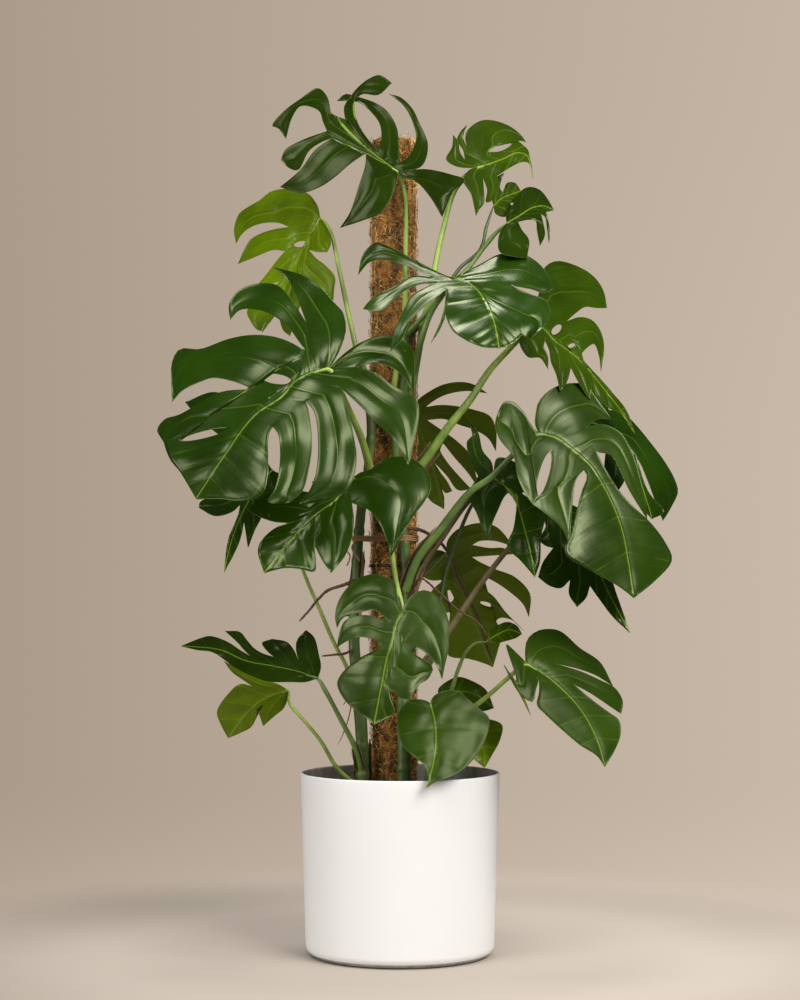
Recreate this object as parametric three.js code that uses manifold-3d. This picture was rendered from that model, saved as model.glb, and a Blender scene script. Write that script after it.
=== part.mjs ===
// Potted swiss cheese plant on a coir pole: planter, soil, pole, climbing stems, split leaves and roots.
// Millimetres, +Z up. The origin is the centre of the planter's base, and the front of the plant is -Y.
import * as THREE from "three";
import Module from "manifold-3d";
import { mergeVertices } from "three/addons/utils/BufferGeometryUtils.js";

const wasm = await Module();
wasm.setup();

// Planter
const POT_HEIGHT = 292;
const POT_RIM_RADIUS = 160;
const POT_FOOT_RADIUS = 151;
const POT_EDGE_ROUND = 17;
const POT_WALL = 5;
const POT_FLOOR = 14;
const POT_SIDES = 36;
const POT_EDGE_STEPS = 5;

// Soil: how far below the rim, how much lower at its edge and higher at its middle
const SOIL_DROP = 34;
const SOIL_EDGE_DIP = 4;
const SOIL_CROWN_RISE = 3;
const SOIL_SHOULDER = 0.6;

// Coir pole
const POLE_X = -10;
const POLE_Y = 10;
const POLE_RADIUS = 37;
const POLE_TOP = 1308;
const POLE_FOOT = 60;
const CORE_RADIUS = 17;
const COIR_RELIEF = 1.4;
const COIR_SIDES = 14;
const COIR_STEPS = 22;
const CORE_SIDES = 16;
const POLE_HOLE_SIDES = 20;
const CORE_SET_DOWN = 4;

// Ties round the pole: height and radius of the strand
const TWINE_HEIGHT = 668;
const TWINE_RADIUS = 1.6;
const CORD_HEIGHT = 624;
const CORD_RADIUS = 1.3;
const TIE_TURNS = 44;
const TWINE_STEPS = 60;
const CORD_STEPS = 28;
const TIE_SIDES = 4;
const STEM_SEARCH_STEPS = 200;

// Round rods: sides, and steps for each knot of their path
const STEM_SIDES = 8;
const STEPS_PER_KNOT = 1.5;
const STALK_SIDES = 6;
const ROOT_SIDES = 6;
const STALK_STEPS_PER_KNOT = 1.5;

// Clear space between pieces that touch
const GAP = 0.3;
// Edges shorter than this are closed up after a cut
const SLIVER = 0.04;

// Leaf blades
const BLADE_THICKNESS = 1.2;
const MIDRIB_THICKNESS = 3.2;
const TIP_STEPS = 4;
const INNER_ROWS = 2;
const HOLED_ROWS = 4;
const OUTER_ROWS = 3;

// Leaves are drawn as they look from the front, in an 800 by 1000 picture of the plant.
// A point of that picture lies on a ray from the eye, and a leaf's own surface gives its depth.
const EYE = new THREE.Vector3(0, -3500, 607);
const PICTURE_SCALE = 2177;
const PICTURE_CENTRE = 400;
const PICTURE_HORIZON = 576;

// Each half of a blade is an outline from the leaf base to its tip.
// ^ marks the tip of a lobe, / the inner end of the slit behind it, and o a hole
// on the way from the midrib to that slit, as start:end:half width.
// depth is that of the leaf base, facing the direction its upper side looks in,
// and droop how much it bends along and across the midrib.
const LEAVES = {
  crown: {
    base: "398,172", depth: -66, facing: [-0.15, -0.93, 0.34], droop: [0.5, 0.35],
    midrib: "378,157 356,140 343,127 338,117",
    sides: [
      `405,170 425,169 450,174 466,180 455,189 ^442,217 430,197 415,181 /404,172 422,166 428,145
       419,122 412,108 400,97 ^389,94 403,105 411,118 416,138 408,157 /399,163 399,150 397,128
       388,112 378,104 355,96 345,94 ^337,101 350,101 360,103 372,113 380,125 381,140 /377,150
       364,134 356,121 352,108 356,99 363,94 378,95 ^392,83 380,75 370,78 358,87 350,97 344,107
       /345,119`,
      `397,181 390,200 380,213 367,219 ^340,228 350,212 359,185 365,166 /366,153 350,164 335,177
       320,187 300,193 ^280,187 300,170 315,150 /332,138 320,143 309,151 298,170 289,168 ^281,160
       285,150 302,140 /327,131 323,122 319,111 301,106 292,118 ^286,139 278,128 272,126 284,111
       300,99 318,88 327,96 /331,113`,
    ],
  },
  upper_left: {
    base: "320,218", depth: 44, facing: [-0.45, -0.8, 0.4], droop: [0.5, 0.7],
    midrib: "313,230 303,248 293,268 284,288 272,310 262,332",
    sides: [
      `318,207 309,194 298,190 282,189 270,192 260,200 248,207 239,214 234,230 ^236,244 241,235
       251,227 264,223 279,223 /289,227 275,229 262,233 250,240 244,250 ^238,264 250,259 262,254
       273,250 o309,243:294,245:3 /285,251 278,259 268,272 258,284 ^247,292 262,290 272,284
       /280,281 268,292 255,300 247,312 250,320 256,329 ^261,331 265,322 /269,315`,
      `326,228 331,243 ^327,252 318,252 /309,250 316,258 325,265 335,277 334,290 ^333,303 320,298
       /300,280 303,295 298,312 ^290,336 283,330 /278,312`,
    ],
  },
  left_front: {
    base: "329,369", depth: -150, facing: [-0.3, -0.82, 0.48], droop: [0.45, 0.6],
    midrib: "313,372 297,380 281,397 254,416 225,455 196,499",
    sides: [
      `339,352 346,330 343,312 334,302 320,287 302,275 ^273,267 287,279 297,298 /306,322 292,300
       277,285 255,284 238,291 229,304 ^230,320 240,310 258,310 272,315 288,327 297,339 /305,350
       288,341 271,336 250,335 228,339 200,349 180,349 172,362 ^172,402 182,391 200,382 213,378
       238,383 o291,381:262,377:5 /252,389 221,392 195,406 178,415 165,419 157,430 ^162,441
       180,439 200,433 /228,428 205,435 182,442 169,451 171,461 180,472`,
      `335,362 346,352 361,342 381,336 404,340 413,352 ^414,397 406,380 393,368 376,363 /357,367
       374,372 394,386 415,398 419,410 414,442 ^409,466 393,439 374,420 359,405 /342,389 349,414
       355,442 357,458 352,482 342,494 318,499 ^299,504 309,491 316,472 318,440 314,412 /306,401
       309,413 312,446 309,468 303,490 ^289,503 268,502 275,488 279,470 280,450 278,434 /273,427
       269,434 268,455 268,474 262,494 245,501 221,499`,
    ],
  },
  front_right_high: {
    base: "455,278", depth: -104, facing: [0.06, -0.68, 0.73], droop: [1, 0.35],
    midrib: "462,280 475,288 487,304 494,322 499,348",
    sides: [
      `447,276 415,260 385,245 375,243 363,254 ^358,275 370,262 385,260 410,267 /431,277 413,276
       395,286 370,300 ^363,309 380,311 400,294 418,285 /435,283 424,288 412,295 404,309 395,330
       ^390,352 402,339 411,321 425,306 437,297 /446,290 445,304 441,320 ^431,343 445,331 455,331
       /462,322 466,339 485,347`,
      `463,272 480,264 497,255 515,252 530,257 545,270 ^554,288 545,293 530,289 /512,286 530,294
       546,300 551,312 545,325 ^531,338 522,332 /506,320 516,335 508,345`,
    ],
  },
  upper_right: {
    base: "478,167", depth: -14, facing: [0.4, -0.72, 0.57], droop: [0.5, 0.7],
    midrib: "489,164 503,159 517,153 527,156 533,178",
    sides: [
      `470,168 455,166 446,159 452,147 ^453,135 458,141 460,152 /465,160 463,150 457,140 461,131
       ^467,125 464,133 464,140 /467,147 465,138 466,132 470,127 480,121 490,120 505,124 514,129
       521,135 ^526,142 522,141 o488,152:511,143:3.5 /518,141 523,145 528,150 530,158 532,167`,
      `469,170 463,180 471,194 474,206 ^476,216 479,210 484,203 484,190 /483,178 487,190 486,202
       ^490,202 496,194 500,184 /497,176 503,172 511,167 522,162 529,163 532,170`,
    ],
  },
  right_upper: {
    base: "494,206", depth: 34, facing: [0.42, -0.72, 0.55], droop: [0.5, 0.8],
    midrib: "501,199 510,195 521,191",
    sides: [
      "491,197 493,185 497,177 ^504,173 501,181 500,188 /503,193 507,183 515,183",
      "495,213 503,217 ^509,215 513,209 /510,203 516,202 521,197",
    ],
  },
  right_hood: {
    base: "507,223", depth: -20, facing: [0.35, -0.62, 0.7], droop: [0.9, 0.9],
    midrib: "519,216 532,208 543,206 554,210",
    sides: [
      "506,217 513,204 522,190 530,187 540,190 547,198",
      `502,228 498,240 500,252 515,257 ^527,258 529,240 522,230 /518,222 528,219 535,219 537,231
       ^540,246 545,235 543,222 /541,214 545,217 547,230 ^549,243 550,231 548,219 /546,212
       550,211`,
    ],
  },
  right_high: {
    base: "533,322", depth: -26, facing: [0.48, -0.66, 0.58], droop: [0.5, 0.9],
    midrib: "545,330 556,342 570,352 585,366 603,388 620,410 635,434",
    sides: [
      `536,305 540,288 543,270 550,263 560,261 585,270 597,280 604,292 ^607,308 597,308 585,307
       576,313 o552,334:561,325:3.5 /567,321 580,317 592,320 600,330 604,345 ^601,372 599,356
       594,344 588,347 o568,347:575,344:2 /582,353 584,361 592,370 600,378 612,392 627,411`,
      `527,327 519,340 528,357 540,358 ^548,369 548,356 544,347 /545,341 549,350 551,362 556,374
       ^560,392 567,382 /571,368 576,378 583,390 ^590,400 592,392 /591,383 598,398 609,408
       622,415`,
    ],
  },
  right_front: {
    base: "539,434", depth: -130, facing: [0.4, -0.76, 0.51], droop: [0.5, 0.6],
    midrib: "555,437 572,449 590,465 600,480 612,503 622,530 628,560 634,598",
    sides: [
      `531,424 524,412 513,402 504,402 ^499,410 495,424 499,438 514,458 517,475 523,490
       o550,452:538,496:5 /532,504 545,513 563,530 ^571,551 571,525 573,500 577,478 /584,470
       587,477 582,490 577,510 571,535 565,553 590,570 618,586`,
      `535,424 536,412 538,403 547,392 560,385 575,383 585,385 ^612,419 600,419 594,421 /588,427
       601,424 612,427 622,434 629,446 635,460 641,482 646,503 ^647,519 638,505 628,488 620,470
       612,456 /597,452 604,466 616,486 632,505 650,522 665,542 672,560 655,581`,
    ],
  },
  right_side: {
    base: "583,418", depth: -16, facing: [0.55, -0.6, 0.58], droop: [0.6, 0.8],
    midrib: "600,426 618,438 632,458 640,480 652,519",
    sides: [
      `579,405 583,390 ^591,383 603,396 /609,410 622,412 636,425 650,442 665,462 675,480 678,492
       672,506 ^663,521 657,506 648,482 641,465 /637,458 642,475 650,495 664,512`,
      "578,432 ^584,462 600,450 /606,447 605,472 ^616,494 624,482 /628,472 634,490 642,508",
    ],
  },
  right_low: {
    base: "549,505", depth: -24, facing: [0.3, -0.72, 0.63], droop: [0.6, 0.9],
    midrib: "562,525 580,548 597,570 612,600 630,633",
    sides: [
      `541,512 546,524 ^538,540 546,546 /553,548 543,562 ^538,577 550,586 561,588 /570,580
       569,594 ^577,607 586,598 /590,586 600,600 613,617`,
      `562,502 ^588,512 580,520 /574,524 602,530 ^622,546 606,548 /597,550 618,562 ^634,576
       620,578 /611,576 616,592 624,615`,
    ],
  },
  centre_right: {
    base: "493,479", depth: -44, facing: [0.15, -0.8, 0.58], droop: [0.4, 0.9],
    midrib: "506,487 517,505 526,535 535,577",
    sides: [
      `492,463 483,451 478,432 ^468,420 472,437 467,441 470,460 /478,476 471,488 469,498 476,512
       483,530 ^490,541 492,525 499,508 505,496 /512,490 518,495 516,512 513,530 507,546 520,560`,
      "497,458 511,460 526,472 ^533,488 528,490 /522,493 544,513 541,538 540,562",
    ],
  },
  back_upper: {
    base: "413,412", depth: 84, facing: [0.3, 0.66, 0.69], droop: [0.5, 0.6],
    midrib: "420,430 427,448 434,470 444,509",
    sides: [
      `416,402 430,391 445,384 462,382 475,385 ^487,393 465,391 445,395 432,402 /426,407 440,405
       456,406 475,410 490,416 496,430 ^496,451 488,438 475,430 460,425 444,419 /427,420 443,431
       457,441 470,455 ^479,489 468,473 455,458 /443,443 440,449 448,463 460,477 ^471,489 458,490
       447,476 /434,462 441,473 447,481 ^452,491 446,493 /441,488 444,497`,
      `398,410 ^378,420 395,424 /409,424 392,430 ^374,455 396,450 /417,446 400,456 ^392,486
       408,480 /426,466 420,480 430,500`,
    ],
  },
  back_lower: {
    base: "447,553", depth: 64, facing: [0.28, 0.66, 0.7], droop: [0.4, 0.6],
    midrib: "456,575 466,600 478,630 493,667",
    sides: [
      `447,542 455,531 465,526 480,523 495,526 505,535 ^512,546 495,541 480,541 /472,545 490,548
       503,548 ^514,554 500,555 485,556 /472,557 480,562 495,569 515,577 530,594 ^529,617 523,604
       510,592 497,583 /484,576 482,585 495,598 506,613 ^523,630 512,620 500,618
       o480,602:493,606:2 /495,622 502,632 498,650`,
      `438,550 428,558 ^416,572 430,580 /443,580 431,592 ^424,612 440,613 o450,590:448,603:5
       /452,612 447,630 448,655 470,659 486,664`,
    ],
  },
  right_small: {
    base: "487,641", depth: -66, facing: [0.25, -0.7, 0.66], droop: [0.8, 0.8],
    midrib: "497,635 509,630 522,634",
    sides: ["488,633 498,625 508,622 517,626", "497,643 506,641 516,638"],
  },
  bottom_right: {
    base: "468,722", depth: -40, facing: [0.3, -0.78, 0.55], droop: [0.8, 0.8],
    midrib: "476,732 483,747 485,768",
    sides: ["477,719 488,719 502,725 500,740 491,757", "463,734 466,748 475,760"],
  },
  bottom_back: {
    base: "442,701", depth: -34, facing: [0.15, -0.52, 0.84], droop: [0.8, 0.8],
    midrib: "457,692 474,694 494,708",
    sides: ["438,690 446,682 458,677 472,681 486,690", "451,708 468,711 484,711"],
  },
  right_bottom: {
    base: "526,664", depth: -118, facing: [0.35, -0.76, 0.55], droop: [0.5, 0.7],
    midrib: "540,671 552,680 570,697 585,716 598,742 605,767",
    sides: [
      `516,655 506,643 ^500,649 503,663 510,678 520,694 ^531,716 533,702 536,690 /539,680 539,692
       537,705 545,714 560,728 580,745 597,756`,
      `525,653 527,640 535,632 546,629 560,631 580,648 600,662 ^613,686 595,675 575,668 /557,664
       580,671 600,680 615,688 623,702 ^621,714 605,703 590,693 /575,685 590,698 610,713 619,720
       621,733 615,750`,
    ],
  },
  front_low: {
    base: "403,612", depth: -150, facing: [-0.08, -0.92, 0.38], droop: [0.56, 0.64],
    midrib: "399,618 395,629 392,643 387,658 384,672 382,683 380,693 377,709 374,725",
    sides: [
      `402,607 399,595 395,583 386,577 375,574 364,576 352,583 343,593 337,605 335,617 ^337,628
       342,619 349,615 358,613 366,611 372,610 380,613 /386,619 379,618 372,616 366,615 357,616
       349,618 343,623 339,634 ^337,648 342,644 352,639 360,637 369,638 375,640 /381,644 378,648
       369,653 361,657 350,665 342,673 337,683 340,693 348,704 359,713 370,721`,
      `405,604 410,597 417,592 423,590 431,592 439,599 445,609 449,622 449,635 448,652 445,665
       ^442,679 439,671 434,662 428,655 420,649 411,644 /404,642 408,648 412,652 423,659 431,664
       ^433,670 428,679 419,685 411,697 408,699 399,697 396,693 389,691 /385,687 386,692 389,699
       393,707 395,710 393,715 386,719 379,722`,
    ],
  },
  front_bottom: {
    base: "430,703", depth: -112, facing: [0.08, -0.86, 0.5], droop: [0.6, 0.8],
    midrib: "434,718 436,740 433,765 426,788",
    sides: [
      "424,700 410,700 399,712 398,730 403,746 413,756 423,764 429,778",
      "434,696 443,691 452,690 461,692 468,699 480,709 489,718 488,732 477,755 458,773 436,782",
    ],
  },
  centre_front: {
    base: "354,477", depth: -104, facing: [-0.12, -0.86, 0.5], droop: [0.5, 0.6],
    midrib: "346,487 335,500 317,514 298,532 264,573",
    sides: [
      `345,476 330,474 ^312,482 318,492 /326,497 308,492 285,490 262,497 ^247,510 262,518 275,522
       /290,523 272,530 258,548`,
      `361,472 370,470 380,461 392,457 406,457 419,463 428,473 431,488 425,501 413,517 403,535
       ^391,557 387,542 380,525 370,511 /352,503 354,520 352,538 345,556 ^331,573 322,560
       /312,540 315,571 300,569 285,568`,
    ],
  },
  left_hidden: {
    base: "272,470", depth: -30, facing: [-0.4, -0.7, 0.6], droop: [0.5, 0.7],
    midrib: "258,486 244,510 232,540 224,572",
    sides: [
      `262,452 240,405 215,392 ^185,402 200,420 225,440 /249,466 232,464 205,468 ^200,480 218,488
       /240,486 225,492 200,502 ^199,508 215,516 232,512 /240,505 238,515 228,540`,
      "283,476 ^292,492 280,500 /262,498 262,515 255,530 ^248,548 246,535 /244,522 240,540 232,558",
    ],
  },
  left_low: {
    base: "318,678", depth: -50, facing: [-0.15, -0.5, 0.85], droop: [0.15, 0.2],
    midrib: "296,671 272,666 246,661 220,650 181,646",
    sides: [
      `321,667 319,655 314,637 ^306,630 297,640 296,650 /298,659 294,650 287,642 ^272,639 262,643
       267,651 /274,657 262,653 254,648 247,640 240,632 ^225,631 238,643 244,650 /250,656 240,650
       228,642 210,636 198,639`,
      "306,682 290,682 270,682 255,680 240,673 226,661 212,652 197,650",
    ],
  },
  left_hanging: {
    base: "288,690", depth: -52, facing: [-0.42, 0.68, 0.6], droop: [0.5, 0.7],
    midrib: "272,695 256,704 242,718 228,738",
    sides: [
      "278,684 262,680 243,672 ^224,661 232,672 243,680 /252,686 240,684 228,694 217,712 221,725",
      "287,701 283,709 277,714 ^263,726 260,717 /257,709 256,718 251,727 240,733",
    ],
  },
};

// Stems and leaf stalks: column, row and depth of each point, and the radius at both ends.
const STEMS = {
  stem_left: {
    radius: [11, 6],
    path: `364,834,-32 362,740,-32 358,690,-31 354,640,-30 356,590,-30 358,545,-30 362,505,-30
      368,468,-33 371,430,-36 368,395,-36 362,362,-32`,
  },
  stem_right: {
    radius: [11, 6],
    path: `404,834,-47 404,740,-48 403,690,-48 406,640,-48 408,590,-47 405,550,-47 400,515,-47
      397,480,-47 396,440,-48 400,405,-48 404,370,-46 405,330,-42`,
  },
  stem_back: {
    radius: [10, 6],
    path: `402,834,66 400,740,66 396,690,66 394,640,66 397,590,66 400,545,66 402,505,65 402,465,64
      400,430,62`,
  },
  stem_low: { radius: [9, 6], path: "428,834,-62 430,765,-62 433,738,-62 440,712,-58 450,695,-50" },
};
const ROOTS = {
  root_left: {
    from: "stem_left",
    radius: [3, 1.6],
    path: `356,580,-36 344,585,-46 330,590,-48 318,600,-48 308,612,-48 299,622,-48`,
  },
  root_left_low: {
    from: "stem_left",
    radius: [2.2, 1.4],
    path: `354,650,-36 344,654,-46 333,655,-48 321,656,-48`,
  },
  root_right_thin: {
    from: "stem_right",
    radius: [1.8, 1.2],
    path: `408,600,-54 421,579,-86 440,595,-84 460,613,-82 477,623,-80 486,635,-78 491,644,-76`,
  },
  root_right: {
    from: "stem_right",
    radius: [3, 1.8],
    path: `406,528,-44 425,531,-10 442,542,0 450,552,4 460,577,8 470,597,10 480,617,12 487,645,12
      492,661,12`,
  },
};
const BASAL_STALKS = {
  right_small: {
    radius: [4, 2.4],
    path: `437,722,-61 448,700,-64 458,670,-68 466,652,-68 476,643,-67`,
  },
  bottom_right: { radius: [3.6, 2.6], path: "431,762,-62 444,748,-56 457,732,-46" },
  bottom_back: { radius: [3.6, 2.6], path: "439,718,-58 438,716,-44 439,710,-34" },
};
const STALKS = {
  crown: {
    from: "stem_right",
    radius: [4.6, 3.2],
    path: `393,430,-48 393,402,-56 397,365,-57 404,325,-50 405,270,-44 405,195,-54`,
  },
  upper_left: {
    from: "stem_left",
    radius: [4.6, 3.2],
    path: `370,415,-38 359,362,-22 348,312,-2 338,264,16 331,234,34`,
  },
  left_front: {
    from: "stem_left",
    radius: [6, 4.2],
    path: `370,468,-36 362,440,-72 350,412,-112 340,390,-136`,
  },
  front_right_high: {
    from: "stem_right",
    radius: [5.4, 4],
    path: `403,396,-48 413,372,-66 420,345,-90 430,315,-104 443,294,-106`,
  },
  upper_right: {
    from: "stem_right",
    radius: [5.8, 4],
    path: `398,432,-50 411,392,-44 419,350,-40 424,318,-36 430,300,-36 434,272,-28 443,230,-18
      455,190,-10 468,174,-9`,
  },
  right_upper: {
    from: "stem_right",
    radius: [3.8, 2.6],
    path: `405,342,-40 425,318,-18 445,290,-6 460,268,0 480,250,14 487,225,28`,
  },
  right_hood: {
    from: "stem_right",
    radius: [4.2, 3.4],
    path: `405,336,-44 424,316,-52 446,290,-38 470,266,-22 482,250,-16 496,233,-14`,
  },
  right_high: {
    from: "stem_right",
    radius: [7.5, 4.6],
    path: `398,492,-50 425,460,-62 450,425,-62 470,400,-54 490,370,-44 515,343,-34`,
  },
  right_front: {
    from: "stem_right",
    radius: [7.5, 4.2],
    path: `407,590,-52 418,558,-72 440,530,-88 470,492,-104 490,478,-112 513,455,-116`,
  },
  right_side: {
    from: "stem_right",
    radius: [5, 3.6],
    path: `407,612,-46 420,572,-34 442,538,-28 468,502,-20 500,474,-6 540,452,-6 565,432,-8`,
  },
  right_low: {
    from: "stem_right",
    radius: [6, 3.6],
    path: `405,690,-50 425,665,-60 448,632,-64 480,585,-60 508,549,-62 530,524,-40`,
  },
  centre_right: {
    from: "stem_right",
    radius: [4.6, 2.8],
    path: `405,655,-50 425,632,-42 440,600,-34 445,575,-30 455,545,-32 472,505,-36`,
  },
  back_upper: { from: "stem_back", radius: [4.6, 3.2], path: "401,455,66 405,435,80" },
  back_lower: { from: "stem_back", radius: [4.6, 3.2], path: "396,620,68 410,590,82 430,568,82" },
  right_bottom: {
    from: "stem_low",
    radius: [4.6, 3.2],
    path: `433,742,-64 450,728,-66 470,710,-82 490,694,-98 507,679,-108`,
  },
  front_low: {
    from: "stem_right",
    radius: [5, 3.6],
    path: `397,500,-50 391,530,-70 393,560,-100 398,590,-130`,
  },
  front_bottom: {
    from: "stem_low",
    radius: [4.6, 3.4],
    path: `430,772,-66 428,752,-86 429,730,-98`,
  },
  centre_front: {
    from: "stem_left",
    radius: [5, 3.6],
    path: `364,492,-34 362,484,-66 359,479,-88`,
  },
  left_hidden: {
    from: "stem_left",
    radius: [3.6, 2.6],
    path: `362,750,-30 352,690,-8 347,668,-4 335,645,0 320,610,2 304,573,0 290,530,-8 280,495,-18`,
  },
  left_low: {
    from: "stem_left",
    radius: [4.6, 3.2],
    path: `363,776,-34 356,750,-50 340,718,-58 325,690,-56`,
  },
  left_hanging: {
    from: "stem_left",
    radius: [3.6, 2.6],
    path: `364,790,-32 345,776,-46 335,765,-50 320,740,-54 300,716,-54 289,702,-52`,
  },
};

// A point of the picture, as column, row and an optional third value.
function readPoint(text) {
  return text.split(",").map(Number);
}

function readPath(text) {
  return text.trim().split(/\s+/).map(readPoint);
}

// The ray from the eye through a point of the picture, one millimetre deep.
function sightLine([column, row]) {
  return new THREE.Vector3(
    (column - PICTURE_CENTRE) / PICTURE_SCALE,
    1,
    (PICTURE_HORIZON - row) / PICTURE_SCALE,
  );
}

function atDepth(point, depth) {
  return sightLine(point).multiplyScalar(depth - EYE.y).add(EYE);
}

// An open curve through points of the picture, sampled by its length.
function pictureCurve(points) {
  const knots = points.map(([x, y, lift]) => new THREE.Vector3(x, y, lift || 0));
  const curve = new THREE.CatmullRomCurve3(knots, false, "centripetal");
  return (share) => curve.getPointAt(Math.min(1, Math.max(0, share)));
}

// One half of a blade as its lobes, from the leaf base to the tip.
function readSide(text) {
  const fresh = () => ({ rise: [], tip: null, fall: [], notch: null, hole: null });
  const lobes = [];
  let lobe = fresh();
  for (const word of text.trim().split(/\s+/)) {
    if (word.startsWith("^")) lobe.tip = readPoint(word.slice(1));
    else if (word.startsWith("o")) {
      const [start, end, half] = word.slice(1).split(":");
      lobe.hole = { start: readPoint(start), end: readPoint(end), half: Number(half) };
    } else if (word.startsWith("/")) {
      lobe.notch = readPoint(word.slice(1));
      lobes.push(lobe);
      lobe = fresh();
    } else (lobe.tip ? lobe.fall : lobe.rise).push(readPoint(word));
  }
  lobes.push(lobe);
  return lobes;
}

// The surface of a leaf: a plane through its base that bends down along and across the midrib.
function leafSurface(leaf, base, tip) {
  const out = new THREE.Vector3(...leaf.facing).normalize();
  const perPixel = (leaf.depth - EYE.y) / PICTURE_SCALE;
  const length = Math.hypot(tip[0] - base[0], tip[1] - base[1]);
  const [alongX, alongZ] = [(tip[0] - base[0]) / length, (base[1] - tip[1]) / length];
  const place = (point, lift) => {
    const x = (point[0] - base[0]) * perPixel;
    const z = (base[1] - point[1]) * perPixel;
    const along = x * alongX + z * alongZ;
    const across = x * alongZ - z * alongX;
    const sag = (leaf.droop[0] * along ** 2 + leaf.droop[1] * across ** 2) / 1000;
    return atDepth(point, leaf.depth - (out.x * x + out.z * z + sag - lift) / out.y);
  };
  return { out, place };
}

// The upper surface of one half of a blade: vertices by name, and four-cornered patches of them.
function halfBlade(side, sideName, midrib, steps, innerRows, add) {
  const lobes = readSide(side);
  const column = (index) => (index === lobes.length ? steps
    : Math.round((index * (steps - TIP_STEPS)) / Math.max(1, lobes.length - 1)));
  const midribAt = (step) => midrib(midribShare(step / steps));
  const rowsToTip = innerRows + OUTER_ROWS;
  const quads = [];

  // The line that two neighbouring lobes share, from the midrib to the slit between them.
  const seam = (index) => {
    const { notch, hole } = lobes[index];
    const start = midribAt(column(index + 1));
    return (row, sign) => {
      const end = new THREE.Vector3(notch[0], notch[1], notch[2] || 0);
      if (row <= 0) return start;
      if (!hole || innerRows !== HOLED_ROWS) return start.clone().lerp(end, row / innerRows);
      const from = new THREE.Vector3(...hole.start, 0);
      const to = new THREE.Vector3(...hole.end, 0);
      if (row === 1) return from;
      if (row === innerRows) return end;
      if (row === innerRows - 1) return to;
      const middle = from.clone().lerp(to, 0.5);
      const run = to.clone().sub(from).normalize();
      return middle.add(new THREE.Vector3(-run.y, run.x, 0).multiplyScalar(hole.half * sign));
    };
  };
  const holed = (index, row) => Boolean(lobes[index].hole) && innerRows === HOLED_ROWS && row === 2;
  const turn = holeSide(lobes, midribAt, column);

  lobes.forEach((lobe, index) => {
    const first = column(index);
    const last = column(index + 1);
    const isTip = index === lobes.length - 1;
    const before = index > 0 ? seam(index - 1) : null;
    const after = isTip ? null : seam(index);
    const rows = isTip ? innerRows : rowsToTip;
    const startPoint = index > 0 ? lobes[index - 1].notch : midribAt(0).toArray();
    let nearEdge = null;
    let farEdge = null;
    if (!isTip) {
      nearEdge = pictureCurve([startPoint, ...lobe.rise, lobe.tip]);
      farEdge = pictureCurve([lobe.notch, ...lobe.fall.slice().reverse(), lobe.tip]);
    } else nearEdge = pictureCurve([startPoint, ...lobe.rise, midribAt(steps).toArray()]);

    const name = (step, row) => {
      if (row === 0) return "mid" + step;
      if (isTip && step === last) return "mid" + steps;
      if (isTip && index === 0 && step === 0) return "mid0";
      if (!isTip && row === rows) return sideName + "tip" + index;
      if (step === first && index > 0 && row <= innerRows)
        return sideName + "seam" + (index - 1) + "_" + row + (holed(index - 1, row) ? "far" : "");
      if (step === last && !isTip && row <= innerRows)
        return sideName + "seam" + index + "_" + row + (holed(index, row) ? "near" : "");
      return sideName + index + "_" + step + "_" + row;
    };
    const spot = (step, row) => {
      if (row === 0) return midribAt(step);
      const u = (step - first) / (last - first);
      if (isTip) {
        const rim = index > 0 || u > 0 ? nearEdge(u) : nearEdge(0);
        if (step === first && before) return before(row, turn);
        return midribAt(step).lerp(rim, row / innerRows);
      }
      const share = (row - innerRows) / OUTER_ROWS;
      let near = null;
      if (before) near = row <= innerRows ? before(row, turn) : nearEdge(share);
      else near = nearEdge(row / rows);
      const far = row <= innerRows ? after(row, -turn) : farEdge(share);
      return near.clone().lerp(far, u);
    };
    for (let step = first; step <= last; step++)
      for (let row = 0; row <= rows; row++) add(name(step, row), spot(step, row), row === 0);
    for (let step = first; step < last; step++)
      for (let row = 0; row < rows; row++)
        quads.push([name(step, row), name(step + 1, row), name(step + 1, row + 1), name(step, row + 1)]);
  });
  return quads;
}

// Lobes stand closer together near the leaf base.
function midribShare(share) {
  return share ** 1.7;
}

// Which way across a seam the neighbour nearer the base lies, as seen in the picture.
function holeSide(lobes, midribAt, column) {
  for (let index = 0; index < lobes.length - 1; index++) {
    const start = midribAt(column(index + 1));
    const next = midribAt(column(index + 1) + 1);
    const [x, y] = lobes[index].notch;
    const run = new THREE.Vector3(x - start.x, y - start.y, 0);
    const onward = next.clone().sub(start);
    return Math.sign(-run.y * onward.x + run.x * onward.y) || 1;
  }
  return 1;
}

// A closed thin solid over a patchwork: its upper face, its lower face and the rim between.
function closedBlade(points, normals, thickness, triangles) {
  const count = points.length;
  const positions = [];
  for (const half of [0.5, -0.5])
    points.forEach((point, i) => {
      positions.push(...point.clone().addScaledVector(normals[i], half * thickness[i]));
    });
  const index = [];
  const edges = new Set();
  for (const [a, b, c] of triangles) {
    index.push(a, b, c, a + count, c + count, b + count);
    edges.add(a + "_" + b).add(b + "_" + c).add(c + "_" + a);
  }
  for (const [a, b, c] of triangles)
    for (const [i, j] of [[a, b], [b, c], [c, a]])
      if (!edges.has(j + "_" + i)) index.push(j, i, i + count, j, i + count, j + count);
  const geometry = new THREE.BufferGeometry();
  geometry.setAttribute("position", new THREE.Float32BufferAttribute(positions, 3));
  geometry.setIndex(index);
  return geometry;
}

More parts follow.
